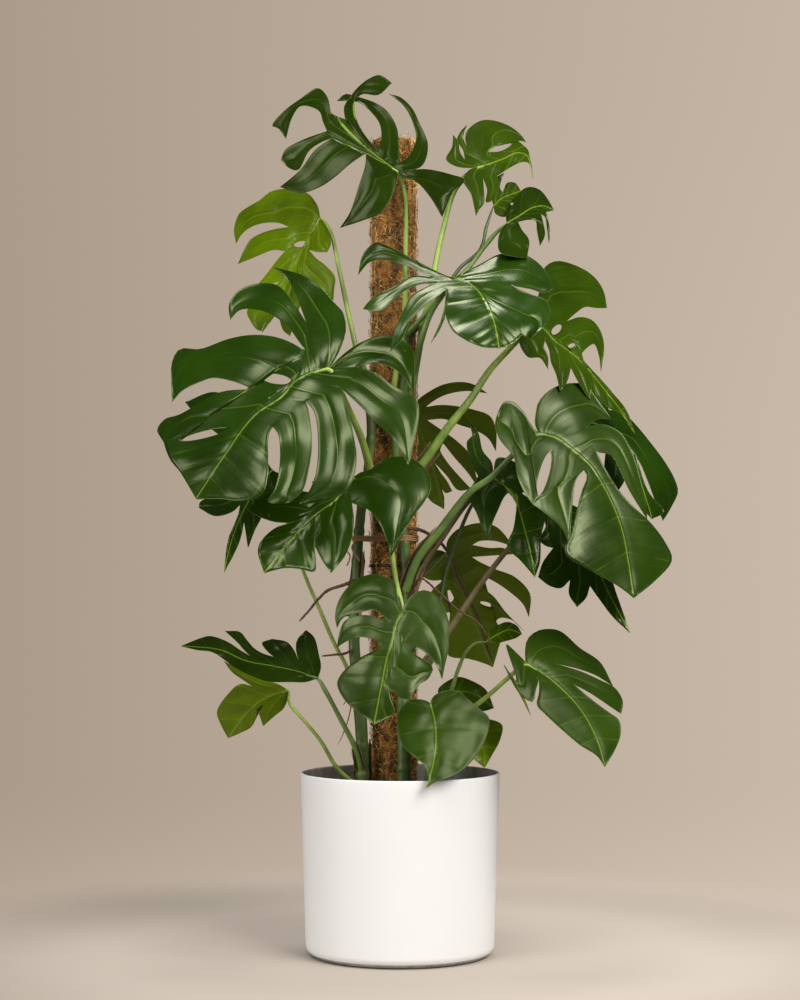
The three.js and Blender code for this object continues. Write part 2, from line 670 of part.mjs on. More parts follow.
function bladeGeometry(leaf) {
  const base = readPoint(leaf.base);
  const middle = readPath(leaf.midrib);
  const surface = leafSurface(leaf, base, middle[middle.length - 1]);
  const midrib = pictureCurve([base, ...middle]);
  const most = Math.max(...leaf.sides.map((side) => readSide(side).length));
  const steps = 2 * Math.max(most - 1, 1) + TIP_STEPS;
  const innerRows = leaf.sides.some((side) => side.includes("o")) ? HOLED_ROWS : INNER_ROWS;
  const names = new Map();
  const points = [];
  const isMidrib = [];
  const add = (name, spot, onMidrib) => {
    if (names.has(name)) return;
    names.set(name, points.length);
    points.push(surface.place([spot.x, spot.y], spot.z));
    isMidrib.push(onMidrib);
  };
  const halves = leaf.sides.map((side, i) => halfBlade(side, "ab"[i], midrib, steps, innerRows, add));
  const split = (quads, flip) => {
    const found = [];
    for (const quad of quads) {
      const [a, b, c, d] = quad.map((name) => names.get(name));
      for (const corner of [[a, b, c], [a, c, d]])
        if (new Set(corner).size === 3) found.push(flip ? corner.reverse() : corner);
    }
    return found;
  };
  const facing = (triangles) => {
    let sum = 0;
    for (const [a, b, c] of triangles) sum += faceNormal(points[a], points[b], points[c]).dot(surface.out);
    return sum;
  };
  const firstHalf = split(halves[0], false);
  const flipFirst = facing(firstHalf) < 0;
  const triangles = [...split(halves[0], flipFirst), ...split(halves[1], !flipFirst)];
  const normals = points.map(() => new THREE.Vector3());
  for (const [a, b, c] of triangles) {
    const normal = faceNormal(points[a], points[b], points[c]);
    for (const i of [a, b, c]) normals[i].add(normal);
  }
  normals.forEach((normal) => normal.normalize());
  const thickness = isMidrib.map((on) => (on ? MIDRIB_THICKNESS : BLADE_THICKNESS));
  return closedBlade(points, normals, thickness, triangles);
}

function faceNormal(a, b, c) {
  return new THREE.Vector3().crossVectors(b.clone().sub(a), c.clone().sub(a));
}

// A tapering round rod along a smooth curve, closed at both ends.
function rodGeometry(points, radii, sides, steps) {
  const curve = new THREE.CatmullRomCurve3(points, false, "centripetal");
  const frames = curve.computeFrenetFrames(steps, false);
  const positions = [];
  for (let step = 0; step <= steps; step++) {
    const centre = curve.getPointAt(step / steps);
    const radius = THREE.MathUtils.lerp(radii[0], radii[1], step / steps);
    for (let side = 0; side < sides; side++) {
      const turn = (2 * Math.PI * side) / sides;
      const spot = centre.clone();
      spot.addScaledVector(frames.normals[step], radius * Math.cos(turn));
      spot.addScaledVector(frames.binormals[step], radius * Math.sin(turn));
      positions.push(...spot);
    }
  }
  const first = positions.length / 3;
  positions.push(...curve.getPointAt(0), ...curve.getPointAt(1));
  const index = [];
  for (let side = 0; side < sides; side++) {
    const next = (side + 1) % sides;
    for (let step = 0; step < steps; step++) {
      const [a, b] = [step * sides + side, step * sides + next];
      index.push(a, b, b + sides, a, b + sides, a + sides);
    }
    index.push(first, next, side, first + 1, steps * sides + side, steps * sides + next);
  }
  const geometry = new THREE.BufferGeometry();
  geometry.setAttribute("position", new THREE.Float32BufferAttribute(positions, 3));
  geometry.setIndex(index);
  return geometry;
}

// Joins and cuts of closed solids.
function solidOf(geometry) {
  const plain = new THREE.BufferGeometry();
  plain.setAttribute("position", geometry.getAttribute("position"));
  if (geometry.index) plain.setIndex(geometry.index);
  const merged = mergeVertices(plain, 1e-4);
  const mesh = new wasm.Mesh({
    numProp: 3,
    vertProperties: merged.attributes.position.array,
    triVerts: new Uint32Array(merged.index.array),
  });
  return new wasm.Manifold(mesh);
}

function geometryOf(solid) {
  const bodies = solid.decompose();
  const largest = bodies.reduce((best, body) => (body.volume() > best.volume() ? body : best));
  const mesh = largest.simplify(SLIVER).getMesh();
  const positions = Float32Array.from(mesh.vertProperties);
  const geometry = new THREE.BufferGeometry();
  geometry.setAttribute("position", new THREE.Float32BufferAttribute(positions, 3));
  geometry.setIndex(Array.from(mesh.triVerts));
  return geometry;
}

function finish(colour, roughness) {
  return new THREE.MeshStandardMaterial({ color: colour, roughness, metalness: 0 });
}

const plant = new THREE.Group();

function addPiece(name, geometry, material) {
  const mesh = new THREE.Mesh(geometry, material);
  mesh.name = name;
  plant.add(mesh);
  return mesh;
}

const potWhite = finish("#eceae6", 0.35);
const soilBrown = finish("#3a2a1e", 0.95);
const coirBrown = finish("#7d4f2c", 0.95);
const coreGrey = finish("#b9a58a", 0.8);
const leafGreen = finish("#2f5a22", 0.35);
const stalkGreen = finish("#7fa044", 0.5);
const stemGreen = finish("#6f8a4c", 0.6);
const rootBrown = finish("#4a3426", 0.85);
const twineBuff = finish("#b08d5e", 0.9);
const cordDark = finish("#3b322b", 0.8);

// Outer radius of the planter's wall at a height.
function potRadius(height) {
  return THREE.MathUtils.mapLinear(height, 0, POT_HEIGHT, POT_FOOT_RADIUS, POT_RIM_RADIUS);
}

function lathe(profile, sides) {
  const points = profile.map(([radius, height]) => new THREE.Vector2(radius, height));
  return new THREE.LatheGeometry(points, sides).rotateX(Math.PI / 2);
}

function planterGeometry() {
  const profile = [[0, 0]];
  const corner = potRadius(POT_EDGE_ROUND) - POT_EDGE_ROUND;
  for (let i = 0; i <= POT_EDGE_STEPS; i++) {
    const turn = (Math.PI / 2) * (i / POT_EDGE_STEPS);
    profile.push([corner + POT_EDGE_ROUND * Math.sin(turn), POT_EDGE_ROUND * (1 - Math.cos(turn))]);
  }
  profile.push([POT_RIM_RADIUS, POT_HEIGHT], [POT_RIM_RADIUS - POT_WALL, POT_HEIGHT]);
  profile.push([potRadius(POT_FLOOR) - POT_WALL, POT_FLOOR], [0, POT_FLOOR]);
  return lathe(profile, POT_SIDES);
}

const SOIL_TOP = POT_HEIGHT - SOIL_DROP;

// A low mound of soil that fills the planter, before the holes for what stands in it.
function soilSolid() {
  const inset = POT_WALL + 2 * GAP;
  const foot = POT_FLOOR + GAP;
  const edge = potRadius(SOIL_TOP) - inset;
  const profile = [
    [0, foot],
    [potRadius(foot) - inset, foot],
    [edge, SOIL_TOP - SOIL_EDGE_DIP],
    [edge * SOIL_SHOULDER, SOIL_TOP],
    [0, SOIL_TOP + SOIL_CROWN_RISE],
  ];
  return solidOf(lathe(profile, POT_SIDES));
}

// The coir's outer face, raised here and there like wrapped fibre.
function coirSolid() {
  const path = [new THREE.Vector3(POLE_X, POLE_Y, POLE_FOOT), new THREE.Vector3(POLE_X, POLE_Y, POLE_TOP)];
  const geometry = rodGeometry(path, [POLE_RADIUS, POLE_RADIUS], COIR_SIDES, COIR_STEPS);
  const spots = geometry.getAttribute("position");
  for (let i = 0; i < COIR_SIDES * (COIR_STEPS + 1); i++) {
    const [x, y, z] = [spots.getX(i) - POLE_X, spots.getY(i) - POLE_Y, spots.getZ(i)];
    const turn = Math.atan2(y, x);
    const swell = COIR_RELIEF * Math.sin(3 * turn + 0.045 * z) * Math.cos(0.06 * z - 2 * turn);
    const scale = (POLE_RADIUS + swell) / Math.hypot(x, y);
    spots.setXY(i, POLE_X + x * scale, POLE_Y + y * scale);
  }
  return solidOf(geometry);
}

// The stiff core of the pole, or with a larger radius and longer ends the bore of the coir round it.
function coreSolid(swell, longer) {
  const length = POLE_TOP - POLE_FOOT - CORE_SET_DOWN;
  const radius = CORE_RADIUS + swell;
  const rod = new THREE.CylinderGeometry(radius, radius, length + 2 * longer, CORE_SIDES);
  return solidOf(rod.rotateX(Math.PI / 2).translate(POLE_X, POLE_Y, POLE_FOOT + length / 2));
}

// A tie pulled tight round upright round things: their hull at one height, with the strand on its outside.
function tieGeometry(rounds, height, strand, steps) {
  const knots = [];
  for (let i = 0; i < TIE_TURNS; i++) {
    const turn = (2 * Math.PI * i) / TIE_TURNS;
    const [dx, dy] = [Math.cos(turn), Math.sin(turn)];
    const reach = ([x, y, r]) => x * dx + y * dy + r;
    const [x, y, r] = rounds.reduce((best, one) => (reach(one) > reach(best) ? one : best));
    const out = r + strand + GAP;
    knots.push(new THREE.Vector3(x + out * dx, y + out * dy, height));
  }
  const spaced = knots.filter((knot, i) => knot.distanceTo(knots[(i + 1) % TIE_TURNS]) > strand / 4);
  const curve = new THREE.CatmullRomCurve3(spaced, true, "centripetal");
  return new THREE.TubeGeometry(curve, steps, strand, TIE_SIDES, true);
}

function stemPoints(path) {
  return readPath(path).map(([column, row, depth]) => atDepth([column, row], depth));
}

function rodSolid(path, radius, sides, swell = 0) {
  const points = stemPoints(path);
  const radii = radius.map((value) => value + swell);
  const steps = Math.round(STEPS_PER_KNOT * (points.length - 1));
  return solidOf(rodGeometry(points, radii, sides, steps));
}

// The centre and radius of a stem where it passes a height.
function stemRound(name, height) {
  const { radius, path } = STEMS[name];
  const curve = new THREE.CatmullRomCurve3(stemPoints(path), false, "centripetal");
  let best = { far: Infinity };
  for (let i = 0; i <= STEM_SEARCH_STEPS; i++) {
    const share = i / STEM_SEARCH_STEPS;
    const spot = curve.getPointAt(share);
    const far = Math.abs(spot.z - height);
    if (far < best.far) best = { far, spot, radius: THREE.MathUtils.lerp(...radius, share) };
  }
  return [best.spot.x, best.spot.y, best.radius + GAP];
}

const stems = {};
const stemsSwollen = {};
for (const [name, { radius, path }] of Object.entries(STEMS)) {
  stems[name] = rodSolid(path, radius, STEM_SIDES);
  stemsSwollen[name] = rodSolid(path, radius, STEM_SIDES, GAP);
}

const core = coreSolid(0, 0);
const coir = coirSolid().subtract(coreSolid(GAP, 2 * CORE_SET_DOWN));
addPiece("planter", planterGeometry(), potWhite);
addPiece("pole_core", geometryOf(core), coreGrey);
addPiece("coir_wrap", geometryOf(coir), coirBrown);

let soil = soilSolid();
for (const swollen of Object.values(stemsSwollen)) soil = soil.subtract(swollen);
const poleHoleRadius = (POLE_RADIUS + COIR_RELIEF + GAP) / Math.cos(Math.PI / POLE_HOLE_SIDES);
const poleHole = new THREE.CylinderGeometry(poleHoleRadius, poleHoleRadius, POT_HEIGHT, POLE_HOLE_SIDES);
poleHole.rotateX(Math.PI / 2).translate(POLE_X, POLE_Y, POLE_FOOT + POT_HEIGHT / 2 - GAP);
soil = soil.subtract(solidOf(poleHole));
addPiece("soil", geometryOf(soil), soilBrown);

for (const [name, leaf] of Object.entries(LEAVES)) addPiece("blade_" + name, bladeGeometry(leaf), leafGreen);

// A leaf stalk from its stem to its blade, cut flat just under the blade.
function stalkSolid(name, { radius, path }) {
  const leaf = LEAVES[name];
  const end = atDepth(readPoint(leaf.base), leaf.depth);
  const points = [...stemPoints(path), end];
  const steps = Math.round(STALK_STEPS_PER_KNOT * points.length);
  const under = new THREE.Vector3(...leaf.facing).normalize().negate();
  const seat = under.dot(end) + MIDRIB_THICKNESS / 2 + GAP;
  return solidOf(rodGeometry(points, radius, STALK_SIDES, steps)).trimByPlane(under.toArray(), seat);
}

for (const [name, stalk] of Object.entries(STALKS)) {
  const rod = stalkSolid(name, stalk).subtract(stemsSwollen[stalk.from]);
  addPiece("stalk_" + name, geometryOf(rod), stalkGreen);
}

let lowStem = stems.stem_low;
for (const [name, stalk] of Object.entries(BASAL_STALKS)) lowStem = lowStem.add(stalkSolid(name, stalk));
stems.stem_low = lowStem;
for (const [name, solid] of Object.entries(stems)) addPiece(name, geometryOf(solid), stemGreen);

for (const [name, { from, radius, path }] of Object.entries(ROOTS)) {
  const rod = rodSolid(path, radius, ROOT_SIDES).subtract(stemsSwollen[from]);
  addPiece(name, geometryOf(rod), rootBrown);
}

const poleRound = [POLE_X, POLE_Y, POLE_RADIUS + COIR_RELIEF];
const tiedRounds = [poleRound, stemRound("stem_left", TWINE_HEIGHT), stemRound("stem_right", TWINE_HEIGHT)];
addPiece("twine_tie", tieGeometry(tiedRounds, TWINE_HEIGHT, TWINE_RADIUS, TWINE_STEPS), twineBuff);
addPiece("cord_tie", tieGeometry([poleRound], CORD_HEIGHT, CORD_RADIUS, CORD_STEPS), cordDark);

export default plant;
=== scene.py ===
"""A swiss cheese plant on a coir pole in a white planter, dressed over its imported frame.

The leaves and stems are drawn as they look from the front, in an 800 by 1000 picture.
Each point lies on a line of sight from the eye, and its depth comes from the leaf or stem.
"""

import math

import bpy
import numpy as np
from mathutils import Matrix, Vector
from mathutils.kdtree import KDTree


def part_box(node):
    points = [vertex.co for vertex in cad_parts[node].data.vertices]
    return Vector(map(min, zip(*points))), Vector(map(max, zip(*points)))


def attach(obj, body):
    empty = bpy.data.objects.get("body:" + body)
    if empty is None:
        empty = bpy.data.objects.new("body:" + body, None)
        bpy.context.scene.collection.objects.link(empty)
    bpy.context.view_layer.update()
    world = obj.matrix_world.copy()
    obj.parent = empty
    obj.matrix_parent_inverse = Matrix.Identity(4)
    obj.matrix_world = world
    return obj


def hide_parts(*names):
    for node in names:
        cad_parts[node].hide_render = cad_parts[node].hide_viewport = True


bl_info = {
    "name": "Potted Swiss Cheese Plant",
    "version": (1, 0, 0),
    "blender": (4, 5, 0),
    "location": "3D View > Sidebar > Plant",
    "description": "Builds a climbing swiss cheese plant on a coir pole in a white planter",
    "category": "Add Mesh",
}

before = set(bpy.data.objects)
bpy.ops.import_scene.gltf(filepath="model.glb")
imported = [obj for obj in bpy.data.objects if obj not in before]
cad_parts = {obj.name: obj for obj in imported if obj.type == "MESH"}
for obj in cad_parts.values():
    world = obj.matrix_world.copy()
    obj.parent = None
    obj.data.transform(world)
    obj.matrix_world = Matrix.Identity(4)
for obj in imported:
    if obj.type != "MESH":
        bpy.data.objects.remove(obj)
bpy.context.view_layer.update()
MM = 0.001

# The picture that the plant is drawn in: the eye in millimetres, and the picture in pixels
EYE_Y = -3500.0
EYE_Z = 607.0
PICTURE_SCALE = 2177.0
PICTURE_CENTRE = 400.0
PICTURE_HORIZON = 576.0
PICTURE_HEIGHT = 1000.0
PICTURE_MIDDLE_ROW = 500.0

# The coir pole and what is tied round it, in millimetres
POLE_X = -10.0
POLE_Y = 10.0
POLE_FOOT = 60.0
POLE_TOP = 1308.0
CORE_RADIUS = 17.0
TWINE_HEIGHT = 668.0
CORD_HEIGHT = 624.0
# How far each round of a tie lies below its first one
TWINE_ROUNDS = (0.0, 3.4, 6.3)
CORD_ROUNDS = (0.0, 2.7)
# The length of one turn of their strands
TWINE_LAY, CORD_LAY = 9, 6
# How many thin roots creep over the coir, and how thick a dry sheath is in metres
POLE_ROOTS = 16
HUSK_THICKNESS = 0.0005
# The greatest angle of a random turn, in radians
FULL_TURN = 6.283
# How far the soil lies below the planter's rim
SOIL_DROP = 34.0
# Where the shell of loose fibres and the roots on the coir start, just above the soil
SHELL_FOOT = 262

# Seeds of the random draws
STEM_SEED, ROOT_SEED, SHEATH_SEED, SWELL_SEED, COIR_SEED, CRUMB_SEED = 5, 21, 60, 900, 4, 8
# Sides of the turned pieces, and rows of the coir
PLANTER_SIDES, SOIL_SIDES, SHELL_SIDES, FLOOR_SIDES, COIR_SIDES, COIR_ROWS = 160, 110, 48, 96, 120, 520
# How rods are cut: their sides, how deep their relief is in metres, and how fine it is
STEM_CUT = (24, 0.0016, 70.0)
STALK_CUT = (18, 0.0006, 90.0)
ROOT_CUT = (12, 0.0008, 160.0)
THIN_ROOT_CUT = (8, 0.0006, 160.0)
TENDRIL_CUT = (8, 0.0006, 220.0)
TWINE_CUT = (6, 0.0004, 500.0)
CORD_CUT = (6, 0.0003, 500.0)
# The soil's relief and the size of a crumb in metres, and crumbs on a square metre
SOIL_RELIEF, CRUMB_SIZE, CRUMBS = 0.006, 0.0032, 26000.0

# Each leaf: where its base is in the picture, the depth of that point in millimetres behind
# the middle of the plant, the way its upper side faces, and how much it bends along and across.
# Then its midrib, and each half of its blade as an outline from the leaf base to the tip.
# ^ marks the tip of a lobe, / the inner end of the slit behind it, and o a hole
# on the way from the midrib to that slit, as start:end:half width.
LEAVES = {
    "crown": (
        "398,172", -66, (-0.15, -0.93, 0.34), (0.5, 0.35),
        "378,157 356,140 343,127 338,117",
        "400,177 415,181 430,197 ^442,217 455,189 466,180 450,174 425,169 /405,171 422,166 428,145 "
        "419,122 412,108 400,97 ^389,94 403,105 411,118 416,138 408,157 /399,163 399,150 397,128 "
        "388,112 378,104 355,96 345,94 ^337,101 350,101 360,103 372,113 380,125 381,140 /377,150 "
        "364,134 356,121 352,108 356,99 363,94 378,95 ^392,83 380,75 370,78 358,87 350,97 344,107 "
        "/345,119",
        "397,181 390,200 380,213 367,219 ^340,228 350,212 359,185 365,166 /366,153 350,164 335,177 "
        "320,187 300,193 ^280,187 300,170 315,150 /332,138 320,143 309,151 298,170 289,168 ^281,160 "
        "285,150 302,140 /327,131 323,122 319,111 301,106 292,118 ^286,139 278,128 272,126 284,111 "
        "300,99 318,88 327,96 /331,113",
    ),
    "upper_left": (
        "320,218", 44, (-0.45, -0.8, 0.4), (0.5, 0.7),
        "313,230 303,248 293,268 284,288 272,310 262,332",
        "318,207 309,194 298,190 282,189 270,192 260,200 248,207 239,214 234,230 ^236,244 241,235 "
        "251,227 264,223 279,223 /289,227 275,229 262,233 250,240 244,250 ^238,264 250,259 262,254 "
        "273,250 o309,243:294,245:3 /285,251 278,259 268,272 258,284 ^247,292 262,290 272,284 "
        "/280,281 268,292 255,300 247,312 250,320 256,329 ^261,331 265,322 /269,315",
        "326,228 331,243 ^327,252 318,252 /309,250 316,258 325,265 335,277 334,290 ^333,303 320,298 "
        "/300,280 303,295 298,312 ^290,336 283,330 /278,312",
    ),
    "left_front": (
        "329,369", -150, (-0.3, -0.82, 0.48), (0.45, 0.6),
        "313,372 297,380 281,397 254,416 225,455 196,499",
        "339,352 346,330 343,312 334,302 320,287 302,275 ^273,267 287,279 297,298 /306,322 292,300 "
        "277,285 255,284 238,291 229,304 ^230,320 240,310 258,310 272,315 288,327 297,339 /305,350 "
        "288,341 271,336 250,335 228,339 200,349 180,349 172,362 ^172,402 182,391 200,382 213,378 "
        "238,383 o291,381:262,377:5 /252,389 221,392 195,406 178,415 165,419 157,430 ^161,438 "
        "o227,429:182,440:3.5 /164,443 166,450 171,461 180,472",
        "335,362 346,352 361,342 381,336 404,340 413,352 ^414,397 406,380 393,368 376,363 /357,367 "
        "374,372 394,386 415,398 419,410 414,442 ^409,466 393,439 374,420 359,405 /342,389 349,414 "
        "355,442 357,458 352,482 342,494 318,499 ^299,504 309,491 316,472 318,440 314,412 /306,401 "
        "309,413 312,446 309,468 303,490 ^289,503 268,502 275,488 279,470 280,450 278,434 /273,427 "
        "269,434 268,455 268,474 262,494 245,501 221,499",
    ),
    "front_right_high": (
        "455,278", -104, (0.06, -0.68, 0.73), (1, 0.35),
        "462,280 475,288 487,304 494,322 499,348",
        "447,276 415,260 385,245 375,243 363,254 ^358,275 370,262 385,260 410,267 /431,277 413,276 "
        "395,286 370,300 ^363,309 380,311 400,294 418,285 /435,283 424,288 412,295 404,309 395,330 "
        "^390,352 402,339 411,321 425,306 437,297 /446,290 445,304 441,320 ^431,343 438,333 443,323 "
        "/446,317 452,330 464,339 483,347",
        "463,272 480,264 497,255 515,252 530,257 545,270 ^554,288 545,293 530,289 /512,286 530,294 "
        "546,300 551,312 545,325 ^531,338 526,337 /522,335 516,341 508,346",
    ),
    "upper_right": (
        "478,167", -14, (0.4, -0.72, 0.57), (0.5, 0.7),
        "489,164 503,159 517,153 527,156 533,178",
        "470,168 455,166 446,159 452,147 ^453,135 458,141 460,152 /465,160 463,150 457,140 461,131 "
        "^467,125 464,133 464,140 /467,147 465,138 466,132 470,127 480,121 490,120 505,124 514,129 "
        "521,135 ^526,142 522,141 o488,152:511,143:3.5 /518,141 523,145 528,150 530,158 532,167",
        "469,170 463,180 471,194 474,206 ^476,216 479,210 484,203 484,190 /483,178 487,190 486,202 "
        "^490,202 496,194 500,184 /497,176 503,172 511,167 522,162 529,163 532,170",
    ),
    "right_upper": (
        "494,206", 34, (0.42, -0.72, 0.55), (0.5, 0.8),
        "501,199 510,195 521,191",
        "491,197 493,185 497,177 ^504,173 501,181 500,188 /503,193 507,183 515,183",
        "495,213 503,217 ^509,215 513,209 /510,203 516,202 521,197",
    ),
    "right_hood": (
        "507,223", -20, (0.35, -0.62, 0.7), (0.9, 0.9),
        "519,216 532,208 543,206 554,210",
        "506,217 513,204 522,190 530,187 540,190 547,198",
        "502,228 498,240 500,252 515,257 ^527,258 529,240 522,230 /518,222 528,219 535,219 537,231 "
        "^540,246 545,235 543,222 /541,214 545,217 547,230 ^549,243 550,231 548,219 /546,212 550,211",
    ),
    "right_high": (
        "533,322", -26, (0.48, -0.66, 0.58), (0.5, 0.9),
        "545,330 556,342 570,352 585,366 603,388 620,410 635,434",
        "536,305 540,288 543,270 550,263 560,261 585,270 597,280 604,292 ^607,308 597,308 585,307 "
        "576,313 o552,334:561,325:3.5 /567,321 580,317 592,320 600,330 604,345 ^601,372 599,356 "
        "594,344 588,347 o568,347:575,344:2 /582,353 584,361 592,370 600,378 612,392 627,411",
        "527,327 519,340 528,357 540,358 ^548,369 548,356 544,347 /545,341 549,350 551,362 556,374 "
        "^560,392 567,382 /571,368 576,378 583,390 ^590,400 592,392 /591,383 598,398 609,408 622,415",
    ),
    "right_front": (
        "539,434", -130, (0.4, -0.76, 0.51), (0.5, 0.6),
        "555,437 572,449 590,465 600,480 612,503 622,530 628,560 634,598",
        "531,424 524,412 513,402 504,402 ^499,410 495,424 499,438 514,458 517,475 523,490 "
        "o550,452:538,496:5 /532,504 545,513 563,530 ^571,551 571,525 573,500 577,478 /584,470 "
        "587,477 582,490 577,510 571,535 565,553 590,570 618,586",
        "535,424 536,412 538,403 547,392 560,385 575,383 585,385 ^612,419 600,419 594,421 /588,427 "
        "601,424 612,427 622,434 629,446 635,460 641,482 646,503 ^647,519 638,505 628,488 620,470 "
        "612,456 /597,452 604,466 616,486 632,505 650,522 665,542 672,560 655,581",
    ),
    "right_side": (
        "583,418", -16, (0.55, -0.6, 0.58), (0.6, 0.8),
        "600,426 618,438 632,458 640,480 652,519",
        "579,405 583,390 ^591,383 603,396 /609,410 622,412 636,425 650,442 665,462 675,480 678,492 "
        "672,506 ^663,521 657,506 648,482 641,465 /637,458 642,475 650,495 664,512",
        "578,432 ^584,462 600,450 /606,447 605,472 ^616,494 624,482 /628,472 634,490 642,508",
    ),
    "right_low": (
        "549,505", -24, (0.3, -0.72, 0.63), (0.6, 0.9),
        "562,525 580,548 597,570 612,600 630,633",
        "541,512 546,524 ^538,540 546,546 /553,548 543,562 ^538,577 550,586 561,588 /570,580 569,594 "
        "^577,607 586,598 /590,586 600,600 613,617",
        "562,502 ^588,512 580,520 /574,524 602,530 ^622,546 606,548 /597,550 618,562 ^634,576 620,578 "
        "/611,576 616,592 624,615",
    ),
    "centre_right": (
        "493,479", -44, (0.15, -0.8, 0.58), (0.4, 0.9),
        "506,487 517,505 526,535 535,577",
        "492,463 483,451 478,432 ^468,420 472,437 467,441 470,460 /478,476 471,488 469,498 476,512 "
        "483,530 ^490,541 492,525 499,508 505,496 /512,490 518,495 516,512 513,530 507,546 520,560",
        "497,458 511,460 526,472 ^533,488 528,490 /522,493 544,513 541,538 540,562",
    ),
    "back_upper": (
        "413,412", 84, (0.3, 0.66, 0.69), (0.5, 0.6),
        "420,430 427,448 434,470 444,509",
        "416,402 430,391 445,384 462,382 475,385 ^487,393 465,391 445,395 432,402 /426,407 440,405 "
        "456,406 475,410 490,416 496,430 ^496,451 488,438 475,430 460,425 444,419 /427,420 443,431 "
        "457,441 470,455 ^479,489 468,473 455,458 /443,443 440,449 448,463 460,477 ^471,489 458,490 "
        "447,476 /434,462 441,473 447,481 ^452,491 446,493 /441,488 444,497",
        "398,410 ^378,420 395,424 /409,424 392,430 ^374,455 396,450 /417,446 400,456 ^392,486 408,480 "
        "/426,466 420,480 430,500",
    ),
    "back_lower": (
        "447,553", 64, (0.28, 0.66, 0.7), (0.4, 0.6),
        "456,575 466,600 478,630 493,667",
        "447,542 455,531 465,526 480,523 495,526 505,535 ^512,546 495,541 480,541 /472,545 490,548 "
        "503,548 ^514,554 500,555 485,556 /472,557 480,562 495,569 515,577 530,594 ^529,617 523,604 "
        "510,592 497,583 /484,576 482,585 495,598 506,613 ^523,630 512,620 500,618 o480,602:493,606:2 "
        "/495,622 502,632 498,650",
        "438,550 428,558 ^416,572 430,580 /443,580 431,592 ^424,612 440,613 o450,590:448,603:5 "
        "/452,612 447,630 448,655 470,659 486,664",
    ),
    "right_small": (
        "487,641", -66, (0.25, -0.7, 0.66), (0.8, 0.8),
        "497,635 509,630 522,634",
        "488,633 498,625 508,622 517,626",
        "497,643 506,641 516,638",
    ),
    "bottom_right": (
        "468,722", -40, (0.3, -0.78, 0.55), (0.8, 0.8),
        "476,732 483,747 485,768",
        "477,719 488,719 502,725 500,740 491,757",
        "463,734 466,748 475,760",
    ),
    "bottom_back": (
        "442,701", -34, (0.15, -0.52, 0.84), (0.8, 0.8),
        "457,692 474,694 494,708",
        "438,690 446,682 458,677 472,681 486,690",
        "451,708 468,711 484,711",
    ),
    "right_bottom": (
        "526,664", -118, (0.35, -0.76, 0.55), (0.5, 0.7),
        "540,671 552,680 570,697 585,716 598,742 605,767",
        "516,655 506,643 ^500,649 503,663 510,678 520,694 ^531,716 533,702 536,690 /539,680 539,692 "
        "537,705 545,714 560,728 580,745 597,756",
        "525,653 527,640 535,632 546,629 560,631 580,648 600,662 ^613,686 595,675 575,668 /557,664 "
        "580,671 600,680 615,688 623,702 ^621,714 605,703 590,693 /575,685 590,698 610,713 619,720 "
        "621,733 615,750",
    ),
    "front_low": (
        "403,612", -150, (-0.08, -0.92, 0.38), (0.56, 0.64),
        "399,618 395,629 392,643 387,658 384,672 382,683 380,693 377,709 374,725",
        "402,607 399,595 395,583 386,577 375,574 364,576 352,583 343,593 337,605 335,617 ^337,628 "
        "342,619 349,615 358,613 366,611 372,610 380,613 /386,619 379,618 372,616 366,615 357,616 "
        "349,618 343,623 339,634 ^337,648 342,644 352,639 360,637 369,638 375,640 /381,644 378,648 "
        "369,653 361,657 350,665 342,673 337,683 340,693 348,704 359,713 370,721",
        "405,604 410,597 417,592 423,590 431,592 439,599 445,609 449,622 449,635 448,652 445,665 "
        "^442,679 439,671 434,662 428,655 420,649 411,644 /404,642 408,648 412,652 423,659 431,664 "
        "^433,670 428,679 419,685 411,697 408,699 399,697 396,693 389,691 /385,687 386,692 389,699 "
        "393,707 395,710 393,715 386,719 379,722",
    ),
    "front_bottom": (
        "430,703", -112, (0.08, -0.86, 0.5), (0.6, 0.8),
        "434,718 436,740 433,765 426,788",
        "424,700 410,700 399,712 398,730 403,746 413,756 423,764 429,778",
        "434,696 443,691 452,690 461,692 468,699 480,709 489,718 488,732 477,755 458,773 436,782",
    ),
    "centre_front": (
        "354,477", -104, (-0.12, -0.86, 0.5), (0.5, 0.6),
        "346,487 335,500 317,514 298,532 264,573",
        "345,476 330,474 ^312,482 318,492 /326,497 308,492 285,490 262,497 ^247,510 262,518 275,522 "
        "/290,523 272,530 258,548",
        "361,472 370,470 380,461 392,457 406,457 419,463 428,473 431,488 425,501 413,517 403,535 "
        "^391,557 387,542 380,525 370,511 /352,503 354,520 352,538 345,556 ^331,573 322,560 /312,540 "
        "315,571 300,569 285,568",
    ),
    "left_hidden": (
        "272,470", -30, (-0.4, -0.7, 0.6), (0.5, 0.7),
        "258,486 244,510 232,540 224,572",
        "262,452 240,405 215,392 ^185,402 200,420 225,440 /249,466 232,464 205,468 ^200,480 218,488 "
        "/240,486 225,492 200,502 ^199,508 215,516 232,512 /240,505 238,515 228,540",
        "283,476 ^292,492 280,500 /262,498 262,515 255,530 ^248,548 246,535 /244,522 240,540 232,558",
    ),
    "left_low": (
        "318,678", -50, (-0.15, -0.5, 0.85), (0.15, 0.2),
        "296,671 272,666 246,661 220,650 181,646",
        "321,667 319,655 314,637 ^306,630 297,640 296,650 /298,659 294,650 287,642 ^272,639 262,643 "
        "267,651 /274,657 262,653 254,648 247,640 240,632 ^225,631 238,643 244,650 /250,656 240,650 "
        "228,642 210,636 198,639",
        "306,682 290,682 270,682 255,680 240,673 226,661 212,652 197,650",
    ),
    "left_hanging": (
        "288,690", -52, (-0.42, 0.68, 0.6), (0.5, 0.7),
        "272,695 256,704 242,718 228,738",
        "278,684 262,680 243,672 ^224,661 232,672 243,680 /252,686 240,684 228,694 217,712 221,725",
        "287,701 283,709 277,714 ^263,726 260,717 /257,709 256,718 251,727 240,733",
    ),
}
